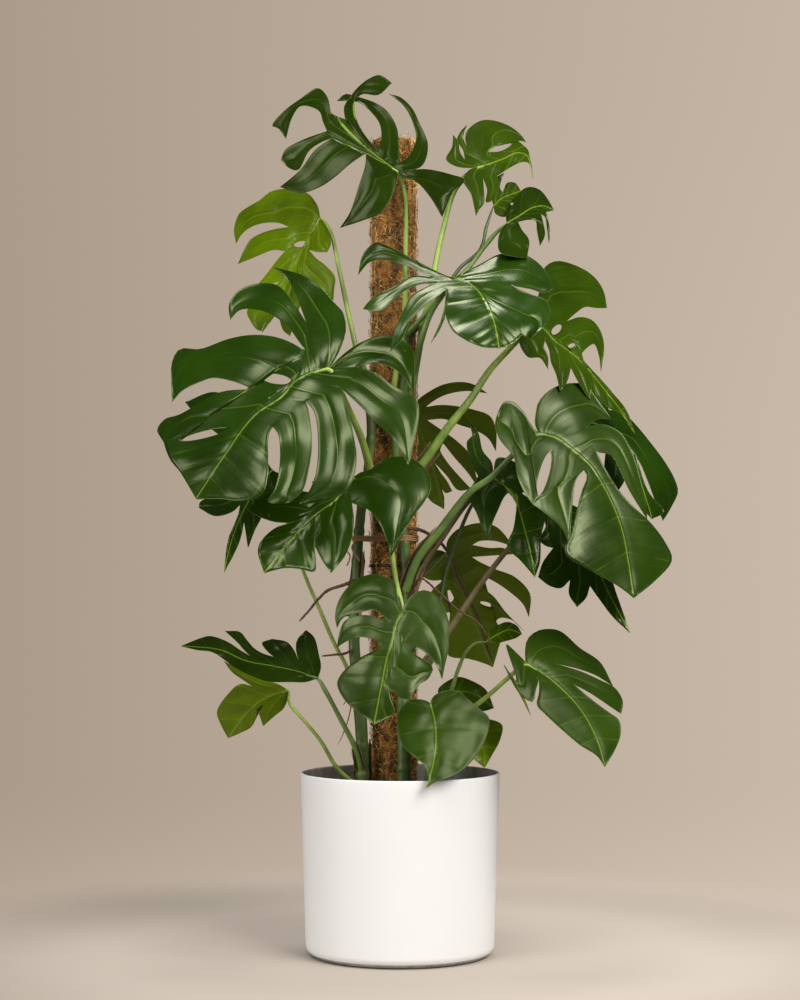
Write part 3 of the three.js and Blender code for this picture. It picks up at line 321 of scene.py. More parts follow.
# Each stem, root and stalk: its radius at the start and the end in millimetres,
# and its path, as column, row and depth. The stalks are named by their leaves.
STEMS = {
    "stem_left": ((11, 6), (
        "364,834,-32 362,740,-32 358,690,-31 354,640,-30 356,590,-30 358,545,-30 362,505,-30 "
        "368,468,-33 371,430,-36 368,395,-36 362,362,-32"
    )),
    "stem_right": ((11, 6), (
        "404,834,-47 404,740,-48 403,690,-48 406,640,-48 408,590,-47 405,550,-47 400,515,-47 "
        "397,480,-47 396,440,-48 400,405,-48 404,370,-46 405,330,-42"
    )),
    "stem_back": ((10, 6), (
        "402,834,66 400,740,66 396,690,66 394,640,66 397,590,66 400,545,66 402,505,65 402,465,64 "
        "400,430,62"
    )),
    "stem_low": ((9, 6), "428,834,-62 430,765,-62 433,738,-62 440,712,-58 450,695,-50"),
}
ROOTS = {
    "root_left": ((3, 1.6), "356,580,-36 344,585,-46 330,590,-48 318,600,-48 308,612,-48 299,622,-48"),
    "root_left_low": ((2.2, 1.4), "354,650,-36 344,654,-46 333,655,-48 321,656,-48"),
    "root_right_thin": ((1.8, 1.2), (
        "408,600,-54 421,579,-86 440,595,-84 460,613,-82 477,623,-80 486,635,-78 491,644,-76"
    )),
    "root_right": ((3, 1.8), (
        "406,528,-44 425,531,-10 442,542,0 450,552,4 460,577,8 470,597,10 480,617,12 487,645,12 "
        "492,661,12"
    )),
}
BASAL_STALKS = {
    "right_small": ((4, 2.4), "437,722,-61 448,700,-64 458,670,-68 466,652,-68 476,643,-67"),
    "bottom_right": ((3.6, 2.6), "431,762,-62 444,748,-56 457,732,-46"),
    "bottom_back": ((3.6, 2.6), "439,718,-58 438,716,-44 439,710,-34"),
}
STALKS = {
    "crown": ((4.6, 3.2), "393,430,-48 393,402,-56 397,365,-57 404,325,-50 405,270,-44 405,195,-54"),
    "upper_left": ((4.6, 3.2), "370,415,-38 359,362,-22 348,312,-2 338,264,16 331,234,34"),
    "left_front": ((6, 4.2), "370,468,-36 362,440,-72 350,412,-112 340,390,-136"),
    "front_right_high": ((5.4, 4), "403,396,-48 413,372,-66 420,345,-90 430,315,-104 443,294,-106"),
    "upper_right": ((5.8, 4), (
        "398,432,-50 411,392,-44 419,350,-40 424,318,-36 430,300,-36 434,272,-28 443,230,-18 "
        "455,190,-10 468,174,-9"
    )),
    "right_upper": ((3.8, 2.6), "405,342,-40 425,318,-18 445,290,-6 460,268,0 480,250,14 487,225,28"),
    "right_hood": ((4.2, 3.4), "405,336,-44 424,316,-52 446,290,-38 470,266,-22 482,250,-16 496,233,-14"),
    "right_high": ((7.5, 4.6), "398,492,-50 425,460,-62 450,425,-62 470,400,-54 490,370,-44 515,343,-34"),
    "right_front": ((7.5, 4.2), (
        "407,590,-52 418,558,-72 440,530,-88 470,492,-104 490,478,-112 513,455,-116"
    )),
    "right_side": ((5, 3.6), (
        "407,612,-46 420,572,-34 442,538,-28 468,502,-20 500,474,-6 540,452,-6 565,432,-8"
    )),
    "right_low": ((6, 3.6), "405,690,-50 425,665,-60 448,632,-64 480,585,-60 508,549,-62 530,524,-40"),
    "centre_right": ((4.6, 2.8), "405,655,-50 425,632,-42 440,600,-34 445,575,-30 455,545,-32 472,505,-36"),
    "back_upper": ((4.6, 3.2), "401,455,66 405,435,80"),
    "back_lower": ((4.6, 3.2), "396,620,68 410,590,82 430,568,82"),
    "right_bottom": ((4.6, 3.2), "433,742,-64 450,728,-66 470,710,-82 490,694,-98 507,679,-108"),
    "front_low": ((5, 3.6), "397,500,-50 391,530,-70 393,560,-100 398,590,-130"),
    "front_bottom": ((4.6, 3.4), "430,772,-66 428,752,-86 429,730,-98"),
    "centre_front": ((5, 3.6), "364,492,-34 362,484,-66 359,479,-88"),
    "left_hidden": ((3.6, 2.6), (
        "362,750,-30 352,690,-8 347,668,-4 335,645,0 320,610,2 304,573,0 290,530,-8 280,495,-18"
    )),
    "left_low": ((4.6, 3.2), "363,776,-34 356,750,-50 340,718,-58 325,690,-56"),
    "left_hanging": ((3.6, 2.6), "364,790,-32 345,776,-46 335,765,-50 320,740,-54 300,716,-54 289,702,-52"),
}


def by_name(tones):
    """The tone of each name, from the names that share a tone."""
    return {name: tone for tone, names in tones.items() for name in names.split()}


# How each leaf looks if it isn't mature, and each stalk if it isn't plain
LEAF_TONES = by_name({
    "satin": "right_front front_low",
    "dull": "front_bottom right_bottom",
    # Deep is a darker copy of the leaf green: partly older leaves, partly painted shade where they hang
    "deep": "crown right_hood left_low left_hanging",
    "fresh": "upper_right bottom_back back_upper back_lower right_upper right_high right_small",
    "young": "upper_left bottom_right",
})
STALK_TONES = by_name({
    "bright": "crown upper_left left_front upper_right right_high left_hidden left_hanging "
              "front_low right_bottom",
    "dark": "right_upper centre_right",
    "brown": "right_low right_side",
})

# Loose ends of twine and dried tendrils, as column, row and depth
TWINE_ENDS = (
    "352,538,-50 347,541,-60 345,548,-64 350,556,-62 347,566,-60",
    "354,539,-50 346,536,-62 341,541,-68 344,547,-66 340,556,-66",
    "356,540,-50 352,548,-62 356,556,-60 360,561,-58",
)
TENDRILS = (
    "352,695,-44 351,706,-48 348,720,-50 343,734,-50 338,745,-48",
    "351,696,-44 347,700,-50 343,705,-52",
    "408,575,-60 413,584,-64 417,596,-62 413,604,-60",
)
# Each dry sheath: what it wraps, the shares of that where it starts and ends, how much
# wider it is, the direction it faces and how far round it reaches in degrees
SHEATHS = (
    ("stalk", "right_high", 0.02, 0.26, 1.35, 200, 230),
    ("stalk", "right_front", 0.0, 0.34, 1.3, 210, 240),
    ("stalk", "left_low", 0.0, 0.3, 1.3, 250, 230),
    ("stalk", "front_low", 0.0, 0.5, 1.3, 320, 150),
    ("stalk", "right_side", 0.0, 0.2, 1.3, 220, 220),
    ("stalk", "right_low", 0.0, 0.2, 1.25, 240, 220),
    ("stem", "stem_left", 0.46, 0.6, 1.22, 230, 220),
    ("stem", "stem_right", 0.3, 0.42, 1.2, 290, 200),
    ("stem", "stem_left", 0.08, 0.2, 1.2, 250, 180),
)


# Node trees


class Value:
    """A socket of a node tree. Arithmetic on it adds Math nodes."""

    def __init__(self, graph, socket):
        self.graph = graph
        self.socket = socket

    def maths(self, operation, *others, clamp=False):
        settings = {"operation": operation, "use_clamp": clamp}
        inputs = dict(enumerate((self, *others)))
        return self.graph.value("ShaderNodeMath", settings, inputs)

    def __add__(self, other):
        return self.maths("ADD", other)

    __radd__ = __add__

    def __sub__(self, other):
        return self.maths("SUBTRACT", other)

    def __rsub__(self, other):
        return self.graph.value("ShaderNodeMath", {"operation": "SUBTRACT"}, {0: other, 1: self})

    def __mul__(self, other):
        return self.maths("MULTIPLY", other)

    __rmul__ = __mul__

    def __pow__(self, other):
        return self.maths("POWER", other)

    def clamped(self):
        return self.maths("ADD", 0.0, clamp=True)

    def fade(self, full, none):
        """One where the value is full, nought where it is none, and smooth between."""
        settings = {"interpolation_type": "SMOOTHSTEP"}
        inputs = {0: self, 1: full, 2: none, 3: 1.0, 4: 0.0}
        return self.graph.value("ShaderNodeMapRange", settings, inputs)


class Graph:
    """The nodes of one tree, for a material, a world or Geometry Nodes."""

    def __init__(self, tree):
        self.tree = tree

    def node(self, kind, settings=None, inputs=None):
        made = self.tree.nodes.new(kind)
        for key, value in (settings or {}).items():
            setattr(made, key, value)
        for key, value in (inputs or {}).items():
            if isinstance(value, Value):
                self.tree.links.new(value.socket, made.inputs[key])
            elif value is not None:
                made.inputs[key].default_value = value
        return made

    def value(self, kind, settings=None, inputs=None, output=0):
        return Value(self, self.node(kind, settings, inputs).outputs[output])

    def attribute(self, name):
        """A number stored on the mesh under that name."""
        return self.value("ShaderNodeAttribute", {"attribute_name": name}, output="Fac")

    def axes(self, vector):
        """The three numbers of a vector."""
        split = self.node("ShaderNodeSeparateXYZ", None, {"Vector": vector})
        return [Value(self, socket) for socket in split.outputs]

    def place(self, upright=1.0):
        """The object's own coordinates in metres, with the height stretched."""
        spot = self.value("ShaderNodeTexCoord", output="Object")
        inputs = {"Vector": spot, "Scale": (1.0, 1.0, upright)}
        return self.value("ShaderNodeMapping", None, inputs)

    def surface_map(self, across, along):
        """The piece's own UV map, stretched across and along a lobe."""
        inputs = {"Vector": self.value("ShaderNodeUVMap"), "Scale": (across, along, 1.0)}
        return self.value("ShaderNodeMapping", None, inputs)

    def noise(self, vector, scale, detail=3.0, roughness=0.5, distortion=0.0):
        inputs = {
            "Vector": vector, "Scale": scale, "Detail": detail,
            "Roughness": roughness, "Distortion": distortion,
        }
        return self.value("ShaderNodeTexNoise", None, inputs)

    def cells(self, vector, scale, output=0):
        inputs = {"Vector": vector, "Scale": scale}
        return self.value("ShaderNodeTexVoronoi", None, inputs, output)

    def random(self, low, high, seed):
        """A random vector for each point, between two vectors."""
        inputs = {"Min": low, "Max": high, "Seed": seed}
        return self.value("FunctionNodeRandomValue", {"data_type": "FLOAT_VECTOR"}, inputs)

    def mix(self, share, first, second):
        """first where share is 0 and second where it is 1, as colours."""
        inputs = {0: share, 6: opaque(first), 7: opaque(second)}
        return self.value("ShaderNodeMix", {"data_type": "RGBA"}, inputs, output=2)

    def bump(self, height, distance, strength=1.0, normal=None):
        inputs = {"Height": height, "Distance": distance, "Strength": strength, "Normal": normal}
        return self.value("ShaderNodeBump", None, inputs)


def opaque(colour):
    """A colour with its fourth number, or a socket as it is."""
    if isinstance(colour, Value) or len(colour) == 4:
        return colour
    return (*colour, 1.0)


def shade(colour, share):
    """A darker or lighter colour, by a share of it."""
    return tuple(min(1.0, share * c) for c in colour)


def new_material(name):
    """An empty material and the graph of its nodes."""
    material = bpy.data.materials.new(name)
    material.use_nodes = True
    material.node_tree.nodes.clear()
    return material, Graph(material.node_tree)


def show(graph, surface):
    graph.node("ShaderNodeOutputMaterial", None, {"Surface": surface})


def finish_with(graph, **inputs):
    """Ends a material in one Principled shader."""
    named = {key.replace("_", " "): value for key, value in inputs.items()}
    show(graph, graph.value("ShaderNodeBsdfPrincipled", None, named))


def geometry_tree(name, **kinds):
    """A Geometry Nodes tree with named inputs, its graph and the values of those inputs."""
    tree = bpy.data.node_groups.new(name, "GeometryNodeTree")
    tree.interface.new_socket("Geometry", in_out="OUTPUT", socket_type="NodeSocketGeometry")
    for label, kind in (("Geometry", "Geometry"), *kinds.items(), ("Material", "Material")):
        tree.interface.new_socket(label, in_out="INPUT", socket_type="NodeSocket" + kind)
    graph = Graph(tree)
    source = graph.node("NodeGroupInput")
    given = {socket.name: Value(graph, socket) for socket in source.outputs if socket.name}
    return tree, graph, given


def roughened(graph, geometry, scale, detail, roughness, middle, relief):
    """Moves points out where noise is above its middle, and in where it is below."""
    lump = graph.noise(graph.value("GeometryNodeInputPosition"), scale, detail, roughness)
    inputs = {0: graph.value("GeometryNodeInputNormal"), "Scale": (lump - middle) * relief}
    offset = graph.value("ShaderNodeVectorMath", {"operation": "SCALE"}, inputs)
    return graph.value("GeometryNodeSetPosition", None, {"Geometry": geometry, "Offset": offset})


def end_tree(graph, geometry, material):
    """Realizes what the tree made and gives it its material."""
    whole = graph.value("GeometryNodeRealizeInstances", None, {"Geometry": geometry})
    smooth = graph.value("GeometryNodeSetShadeSmooth", None, {"Geometry": whole})
    inputs = {"Geometry": smooth, "Material": material}
    dressed = graph.value("GeometryNodeSetMaterial", None, inputs)
    graph.node("NodeGroupOutput", None, {"Geometry": dressed})


def add_object(name, data):
    made = bpy.data.objects.new(name, data)
    bpy.context.scene.collection.objects.link(made)
    return made


def grow(mesh, name, tree, inputs):
    """Runs a Geometry Nodes tree on a mesh and returns the result as a plain object."""
    seedling = add_object(name + "_base", mesh)
    modifier = seedling.modifiers.new("grow", "NODES")
    modifier.node_group = tree
    for item in tree.interface.items_tree:
        if item.name in inputs:
            modifier[item.identifier] = inputs[item.name]
    seedling.update_tag()
    evaluated = seedling.evaluated_get(bpy.context.evaluated_depsgraph_get())
    grown = bpy.data.meshes.new_from_object(evaluated)
    bpy.data.objects.remove(seedling)
    return add_object(name, grown)


# Curves and meshes


def read_path(text):
    return np.array([[float(n) for n in word.split(",")] for word in text.split()])


def at_depth(points, depth):
    """Points of the picture put on their lines of sight, in millimetres."""
    reach = (depth - EYE_Y) / PICTURE_SCALE
    across = (points[..., 0] - PICTURE_CENTRE) * reach
    height = EYE_Z + (PICTURE_HORIZON - points[..., 1]) * reach
    return np.stack([across, depth + 0 * across, height], -1)


def slope(before, middle, after, first, second):
    """How a curve through three knots runs at the middle one, whose gaps are first and second."""
    whole = (after - before) / (first + second)
    return (middle - before) / first - whole + (after - middle) / second


class Path:
    """A smooth curve through knots, read by the share of its length."""

    SPAN_STEPS = 24

    def __init__(self, knots):
        knots = np.asarray(knots, float)
        padded = np.vstack([2 * knots[0] - knots[1], knots, 2 * knots[-1] - knots[-2]])
        share = (np.arange(self.SPAN_STEPS)[:, None] + 1) / self.SPAN_STEPS
        pieces = [knots[:1]]
        for before, start, end, after in zip(padded, padded[1:], padded[2:], padded[3:]):
            gaps = [
                max(np.linalg.norm(q - p), 1e-6) ** 0.5
                for p, q in ((before, start), (start, end), (end, after))
            ]
            leave = gaps[1] * slope(before, start, end, gaps[0], gaps[1])
            arrive = gaps[1] * slope(start, end, after, gaps[1], gaps[2])
            bend = 3 * (end - start) - 2 * leave - arrive
            twist = 2 * (start - end) + leave + arrive
            pieces.append(start + leave * share + bend * share**2 + twist * share**3)
        self.points = np.vstack(pieces)
        steps = np.linalg.norm(np.diff(self.points, axis=0), axis=1)
        self.lengths = np.concatenate([[0.0], np.cumsum(steps)])
        self.length = self.lengths[-1]

    def at(self, shares):
        """Points at shares of the length, as many rows."""
        distance = np.clip(np.asarray(shares, float), 0.0, 1.0) * self.length
        columns = [np.interp(distance, self.lengths, column) for column in self.points.T]
        return np.stack(columns, axis=-1)


def mesh_of(name, points_mm, faces):
    """A mesh from points in millimetres."""
    mesh = bpy.data.meshes.new(name)
    mesh.from_pydata((np.asarray(points_mm) * MM).tolist(), [], faces)
    mesh.validate()
    return mesh


def store(mesh, name, values):
    """Keeps one number for each point of a mesh."""
    attribute = mesh.attributes.new(name, "FLOAT", "POINT")
    attribute.data.foreach_set("value", np.asarray(values, np.float32))


def grid_faces(index):
    """The quads of a grid, from the numbers of its points."""
    corners = (index[:-1, :-1], index[1:, :-1], index[1:, 1:], index[:-1, 1:])
    return np.stack([corner.ravel() for corner in corners], -1)


def smooth_faces(mesh):
    mesh.polygons.foreach_set("use_smooth", np.ones(len(mesh.polygons), bool))


def place_piece(piece, material, nodes=()):
    """Gives a finished object its material and its place on the frame."""
    if isinstance(piece, bpy.types.Mesh):
        piece = add_object(piece.name, piece)
    if not piece.data.materials:
        piece.data.materials.append(material)
    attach(piece, "root")
    if nodes:
        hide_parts(*nodes)
    return piece


def turned_mesh(name, profile, sides, centre=(0.0, 0.0)):
    """A profile of radius and height turned round the upright axis, closed at both poles."""
    turn = np.linspace(0, 2 * math.pi, sides, endpoint=False)
    ring = np.stack([np.cos(turn), np.sin(turn)], -1)
    points = [[centre[0], centre[1], profile[0][1]]]
    for radius, height in profile[1:-1]:
        spots = np.hstack([centre + ring * radius, np.full((sides, 1), height)])
        points.extend(spots.tolist())
    points.append([centre[0], centre[1], profile[-1][1]])
    last = len(points) - 1
    faces = []
    rows = len(profile) - 2
    for side in range(sides):
        after = (side + 1) % sides
        faces.append((0, 1 + after, 1 + side))
        for row in range(rows - 1):
            low = 1 + row * sides
            faces.append((low + side, low + after, low + sides + after, low + sides + side))
        top = 1 + (rows - 1) * sides
        faces.append((top + side, top + after, last))
    mesh = mesh_of(name, points, faces)
    smooth_faces(mesh)
    return mesh


# Settings


def colour_setting(name, description, default):
    return bpy.props.FloatVectorProperty(
        name=name, description=description, default=default,
        subtype="COLOR", size=3, min=0.0, max=1.0,
    )


def length_setting(name, description, default):
    return bpy.props.FloatProperty(
        name=name, description=description, default=default, unit="LENGTH", min=0.0
    )


def number_setting(name, description, default):
    return bpy.props.FloatProperty(name=name, description=description, default=default, min=0.0)


class PlanterSettings(bpy.types.PropertyGroup):
    """Sizes and colours of the planter and its soil"""

    height: length_setting("Height", "Height of the planter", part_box("planter")[1][2])
    rim_radius: length_setting("Rim radius", "Radius at the rim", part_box("planter")[1][0])
    foot_radius: length_setting("Foot radius", "Radius of the wall at its foot", 0.151)
    wall: length_setting("Wall", "Thickness of the wall at the rim", 0.005)
    foot_round: length_setting("Foot round", "Radius of the rounded foot", 0.017)
    glaze: colour_setting("Glaze", "Colour of the planter", (0.745, 0.755, 0.765))
    # The inner wall is the same white glaze: this grey is painted shade
    inside: colour_setting("Inside", "Colour of the inner wall", (0.42, 0.41, 0.39))
    soil: colour_setting("Soil", "Colour of the moist soil", (0.030, 0.018, 0.010))
    crumb: colour_setting("Crumb", "Colour of the dry crumbs and bark", (0.13, 0.075, 0.038))


class PoleSettings(bpy.types.PropertyGroup):
    """Sizes and colours of the coir pole and the ties round it"""

    radius: length_setting("Radius", "Radius of the coir", 0.036)
    relief: length_setting("Relief", "How lumpy the coir is", 0.0035)
    fibre_length: length_setting("Fibre length", "Length of a loose fibre", 0.026)
    fibres: bpy.props.IntProperty(
        name="Fibres", description="Loose fibres on a square metre", default=17000, min=0
    )
    coir: colour_setting("Coir", "Colour of the coir", (0.54, 0.215, 0.034))
    # A near-black colour that paints shade into the hollows of the coir
    coir_hollow_shade: colour_setting("Coir hollows", "Colour deep in the coir", (0.028, 0.011, 0.003))
    fibre: colour_setting("Fibre", "Colour of the loose fibres", (1.0, 0.60, 0.185))
    twine: colour_setting("Twine", "Colour of the jute twine", (0.42, 0.25, 0.11))
    cord: colour_setting("Cord", "Colour of the dark cord", (0.035, 0.025, 0.018))


class LeafSettings(bpy.types.PropertyGroup):
    """Shape and colours of the leaves"""

    thickness: length_setting("Thickness", "Thickness of a blade", 0.0009)
    arch: number_setting("Arch", "How much a lobe bulges for its width", 0.055)
    wave: length_setting("Wave", "How wavy the edges are", 0.0016)
    swell: number_setting("Swell", "Height of slow swells for their length", 0.010)
    gloss: number_setting("Roughness", "Roughness of the upper side, up to 1", 0.25)
    mature: colour_setting("Mature", "Old leaves", (0.0105, 0.034, 0.0002))
    satin: colour_setting("Satin", "Softly shining leaves in front", (0.0145, 0.039, 0.0006))
    dull: colour_setting("Dull", "Dull leaves low in front", (0.018, 0.044, 0.0016))
    # Partly the green of older leaves, partly painted shade for the leaves that hang in shadow
    deep: colour_setting("Deep", "Old leaves that hang in the shade", (0.0100, 0.0250, 0.0002))
    fresh: colour_setting("Fresh", "Leaves of middle age", (0.022, 0.048, 0.0004))
    young: colour_setting("Young", "Bright young leaves", (0.074, 0.132, 0.0003))
    vein: colour_setting("Vein", "Midrib and veins", (0.13, 0.22, 0.018))
    margin: colour_setting("Margin", "The thin edge of a blade", (0.12, 0.17, 0.025))


class StemSettings(bpy.types.PropertyGroup):
    """Colours of the stems, stalks and roots"""

    stem: colour_setting("Stem", "Climbing stems", (0.085, 0.145, 0.035))
    ring: colour_setting("Ring", "Scars round the stems", (0.20, 0.15, 0.07))
    bright: colour_setting("Bright stalk", "Young stalks", (0.24, 0.37, 0.065))
    plain: colour_setting("Stalk", "Stalks of middle age", (0.12, 0.215, 0.045))
    dark: colour_setting("Dark stalk", "Old thin stalks", (0.050, 0.095, 0.028))
    brown: colour_setting("Brown stalk", "Stalks that turn brown", (0.125, 0.105, 0.042))
    root: colour_setting("Root", "Aerial roots", (0.105, 0.052, 0.024))
    husk: colour_setting("Husk", "Dry sheaths", (0.27, 0.15, 0.068))


class StageSettings(bpy.types.PropertyGroup):
    """The floor, lights and camera"""

    wall: colour_setting("Wall", "The wall where it is lightest", (0.66, 0.555, 0.455))
    shade: colour_setting("Wall in shade", "The wall where it is darkest", (0.355, 0.28, 0.21))
    floor: colour_setting("Floor", "Colour of the floor", (0.425, 0.38, 0.335))
    key_power: number_setting("Key light", "Power in watts", 200.0)
    fill: number_setting("Fill", "Strength of the fill light", 0.53)
    mirrored: number_setting("Fill in gloss", "Share of the fill that glossy leaves mirror", 0.08)
    floor_reach: length_setting("Floor", "How far the floor reaches before it fades", 0.45)
    floor_fade: length_setting("Floor end", "Where the floor is gone", 1.1)


# Leaves

# How the rows of a lobe are shared out: up to its slit, the same with a hole, and past the slit
INNER_WEIGHT = 2
HOLED_WEIGHT = 4
OUTER_WEIGHT = 3
TIP_STEPS = 4
MIDRIB_BIAS = 1.7
OUTER_ROWS = 28
INNER_ROWS = 16
HOLE_ROWS = (6, 8, 4)
LEAST_COLUMNS = 64
SUB_COLUMNS = 6
CROWDING = 0.85
SWELLS = 6
# Shares of the way along the tip where its veins start
TIP_VEINS = (0.2, 0.48, 0.72)
# How far apart the lobes lie in the UV map, in millimetres
LOBE_SHIFT = 37.0
# How a lobe bulges, bends down and waves, and how the blade's tip bends down and ripples
BULGE, LOBE_DROOP, LOBE_WAVES = 0.6, 0.07, 5.0
TIP_DROOP, RIPPLES, RIPPLE_HEIGHT = 0.03, 3, 0.005
# Relief of a blade in millimetres: the height or depth of each line, and its width
RIB_TROUGH, RIB_TROUGH_WIDTH = 1.5, 6
RIB_RIDGE, RIB_RIDGE_WIDTH = 1.1, 1.7
RIB_BELOW, RIB_BELOW_WIDTH = 2.2, 2.4
VEIN_TROUGH, VEIN_TROUGH_WIDTH = 0.9, 4
VEIN_BELOW, VEIN_BELOW_WIDTH = 0.5, 1.4
EDGE_CURL, EDGE_CURL_WIDTH = 1.6, 9
EDGE_THINNING, EDGE_THINNING_WIDTH = 0.35, 2
# Relief is full on blades of at least this size
FULL_SIZE = 300


def crowd(count, waves):
    """Shares from 0 to 1 that stand closer at the ends, and between the waves."""
    share = np.linspace(0.0, 1.0, count + 1)
    turn = 2 * math.pi * waves
    return share - CROWDING * np.sin(turn * share) / turn


def read_side(text):
    """One half of a blade as its lobes, from the leaf base to the tip."""
    lobes = [{"rise": [], "fall": []}]
    for word in text.split():
        lobe = lobes[-1]
        if word[0] == "^":
            lobe["tip"] = read_path(word[1:])[0]
        elif word[0] == "o":
            start, end, half = word[1:].split(":")
            lobe["hole"] = (read_path(start)[0], read_path(end)[0], float(half))
        elif word[0] == "/":
            lobe["notch"] = read_path(word[1:])[0]
            lobes.append({"rise": [], "fall": []})
        else:
            lobe["fall" if "tip" in lobe else "rise"].append(read_path(word)[0])
    return lobes


class HalfBlade:
    """One half of a blade as grids of picture points, with a lift for each point."""

    def __init__(self, text, midrib, steps, holed, sub_columns, settings, seed):
        self.lobes = read_side(text)
        self.midrib = midrib
        self.steps = steps
        self.holed = holed
        self.sub = sub_columns
        self.settings = settings
        self.random = np.random.RandomState(seed)
        self.inner_weight = HOLED_WEIGHT if holed else INNER_WEIGHT
        self.inner = self.inner_shares()
        self.sign = self.hole_sign()
        self.grids = [self.lobe_grid(index) for index in range(len(self.lobes))]

    def column(self, index):
        if index == len(self.lobes):
            return self.steps
        spread = (self.steps - TIP_STEPS) / max(1, len(self.lobes) - 1)
        return math.floor(index * spread + 0.5)

    def midrib_at(self, steps):
        return self.midrib.at((np.asarray(steps, float) / self.steps) ** MIDRIB_BIAS)

    def inner_shares(self):
        """Shares of the way from the midrib to a slit."""
        if not self.holed:
            return crowd(INNER_ROWS, 1)
        first, lens, last = HOLE_ROWS
        start = (np.arange(first) / first) ** 1.5
        middle = 2 - np.cos(math.pi * np.arange(lens) / lens)
        end = 3 + np.arange(last + 1) / last
        return np.concatenate([start, middle, end]) / HOLED_WEIGHT

    def hole_sign(self):
        """Which way across a seam the neighbour nearer the base lies."""
        if len(self.lobes) == 1:
            return 1
        start, onward = self.midrib_at([self.column(1), self.column(1) + 1])
        run = self.lobes[0]["notch"] - start
        step = onward - start
        return np.sign(-run[1] * step[0] + run[0] * step[1]) or 1

    def seam(self, index, side):
        """The line that two lobes share, which runs round a hole on the side asked for."""
        lobe = self.lobes[index]
        start = self.midrib_at(self.column(index + 1))
        share = self.inner[:, None]
        if "hole" not in lobe or not self.holed:
            return start + (lobe["notch"] - start) * share
        near, far, half = lobe["hole"]
        place = share[:, 0] * HOLED_WEIGHT
        knots = [0, 1, 3, 4]
        corners = np.array([start, near, far, lobe["notch"]])
        line = np.stack([np.interp(place, knots, corners[:, axis]) for axis in (0, 1)], -1)
        run = (far - near) / np.linalg.norm(far - near)
        bulge = half * np.sqrt(np.clip(1 - (place - 2) ** 2, 0, None))
        return line + bulge[:, None] * np.array([-run[1], run[0]]) * side * self.sign

    def lobe_grid(self, index):
        if index == len(self.lobes) - 1:
            return self.tip_grid(index)
        lobe = self.lobes[index]
        first, last = self.column(index), self.column(index + 1)
        count = (last - first) * self.sub
        across = crowd(count, 2)
        outer = np.linspace(0, 1, OUTER_ROWS + 1)[1:]
        if index:
            near_edge = Path([self.lobes[index - 1]["notch"], *lobe["rise"], lobe["tip"]])
            near = np.vstack([self.seam(index - 1, 1), near_edge.at(outer)])
        else:
            near_edge = Path([self.midrib_at(0), *lobe["rise"], lobe["tip"]])
            weight = self.inner_weight
            rows = np.concatenate([self.inner * weight, weight + outer * OUTER_WEIGHT])
            near = near_edge.at(rows / (weight + OUTER_WEIGHT))
        far_edge = Path([lobe["notch"], *lobe["fall"][::-1], lobe["tip"]])
        far = np.vstack([self.seam(index, -1), far_edge.at(outer)])
        spots = near[None] + (far - near)[None] * across[:, None, None]
        middle = self.midrib_at(np.linspace(first, last, count + 1))
        fade = np.concatenate([(1 - self.inner) ** 2, np.zeros(OUTER_ROWS)])
        spots += (middle - spots[:, 0])[:, None] * fade[None, :, None]
        lift = self.lobe_lift(near, far, across, outer)
        veins = [count // 2]
        side_veins = [count // 4, -1 - count // 4]
        return self.finished(spots, lift, across, veins, side_veins, index)

    def lobe_lift(self, near, far, across, outer):
        """A lobe bulges between its slits, and its tip and edges bend down."""
        width = np.linalg.norm(far - near, axis=1)
        grown = np.concatenate([self.inner**2, np.ones(OUTER_ROWS)])
        side = np.abs(2 * across - 1)[:, None]
        arch = self.settings.arch * width * grown * np.sin(math.pi * side) * BULGE
        tip = np.concatenate([np.zeros(len(self.inner)), outer])
        reach = np.linalg.norm(near[-1] - near[len(self.inner) - 1])
        droop = -LOBE_DROOP * reach * tip**2
        phase = self.random.uniform(0, 2 * math.pi)
        wave = self.settings.wave / MM * np.sin(LOBE_WAVES * tip + phase) * tip
        return arch + droop[None] + wave[None] * side**2 * np.sign(across - 0.5)[:, None]

    def tip_grid(self, index):
        first, last = self.column(index), self.steps
        count = (last - first) * self.sub
        along = np.linspace(0, 1, count + 1)
        start = self.lobes[index - 1]["notch"] if index else self.midrib_at(0)
        edge = Path([start, *self.lobes[index]["rise"], self.midrib_at(self.steps)])
        middle = self.midrib_at(np.linspace(first, last, count + 1))
        rim = edge.at(along)
        share = self.inner[None, :, None]
        spots = middle[:, None] + (rim - middle)[:, None] * share
        if index:
            shift = self.seam(index - 1, 1) - spots[0]
            spots += shift[None] * ((1 - along) ** 6)[:, None, None]
        width = np.linalg.norm(rim - middle, axis=1)[:, None]
        grown = (1 - (1 - along) ** 4)[:, None] if index else np.ones((count + 1, 1))
        swell = np.sin(math.pi * self.inner)[None] * self.settings.arch * width * BULGE
        ripple = np.sin(math.pi * RIPPLES * along)[:, None] * RIPPLE_HEIGHT * width
        ripple = ripple * self.inner[None] ** 1.5
        lift = grown * (swell + ripple - TIP_DROOP * width * self.inner[None] ** 2)
        veins = [int(len(spots) * share) for share in TIP_VEINS]
        return self.finished(spots, lift, along, veins, [], index)

    def finished(self, spots, lift, across, veins, side_veins, index):
        """A grid with its UV map, and the columns where its veins run."""
        wide = np.linalg.norm(spots[-1] - spots[0], axis=1)
        steps = np.linalg.norm(np.diff(spots, axis=1), axis=2)
        long = np.hstack([np.zeros((len(spots), 1)), np.cumsum(steps, axis=1)])
        return {
            "spots": spots, "lift": lift,
            "map": np.stack([(across[:, None] - 0.5) * wide + LOBE_SHIFT * index, long], -1),
            "veins": [spots[column] for column in veins],
            "side_veins": [spots[column, :-3] for column in side_veins],
        }


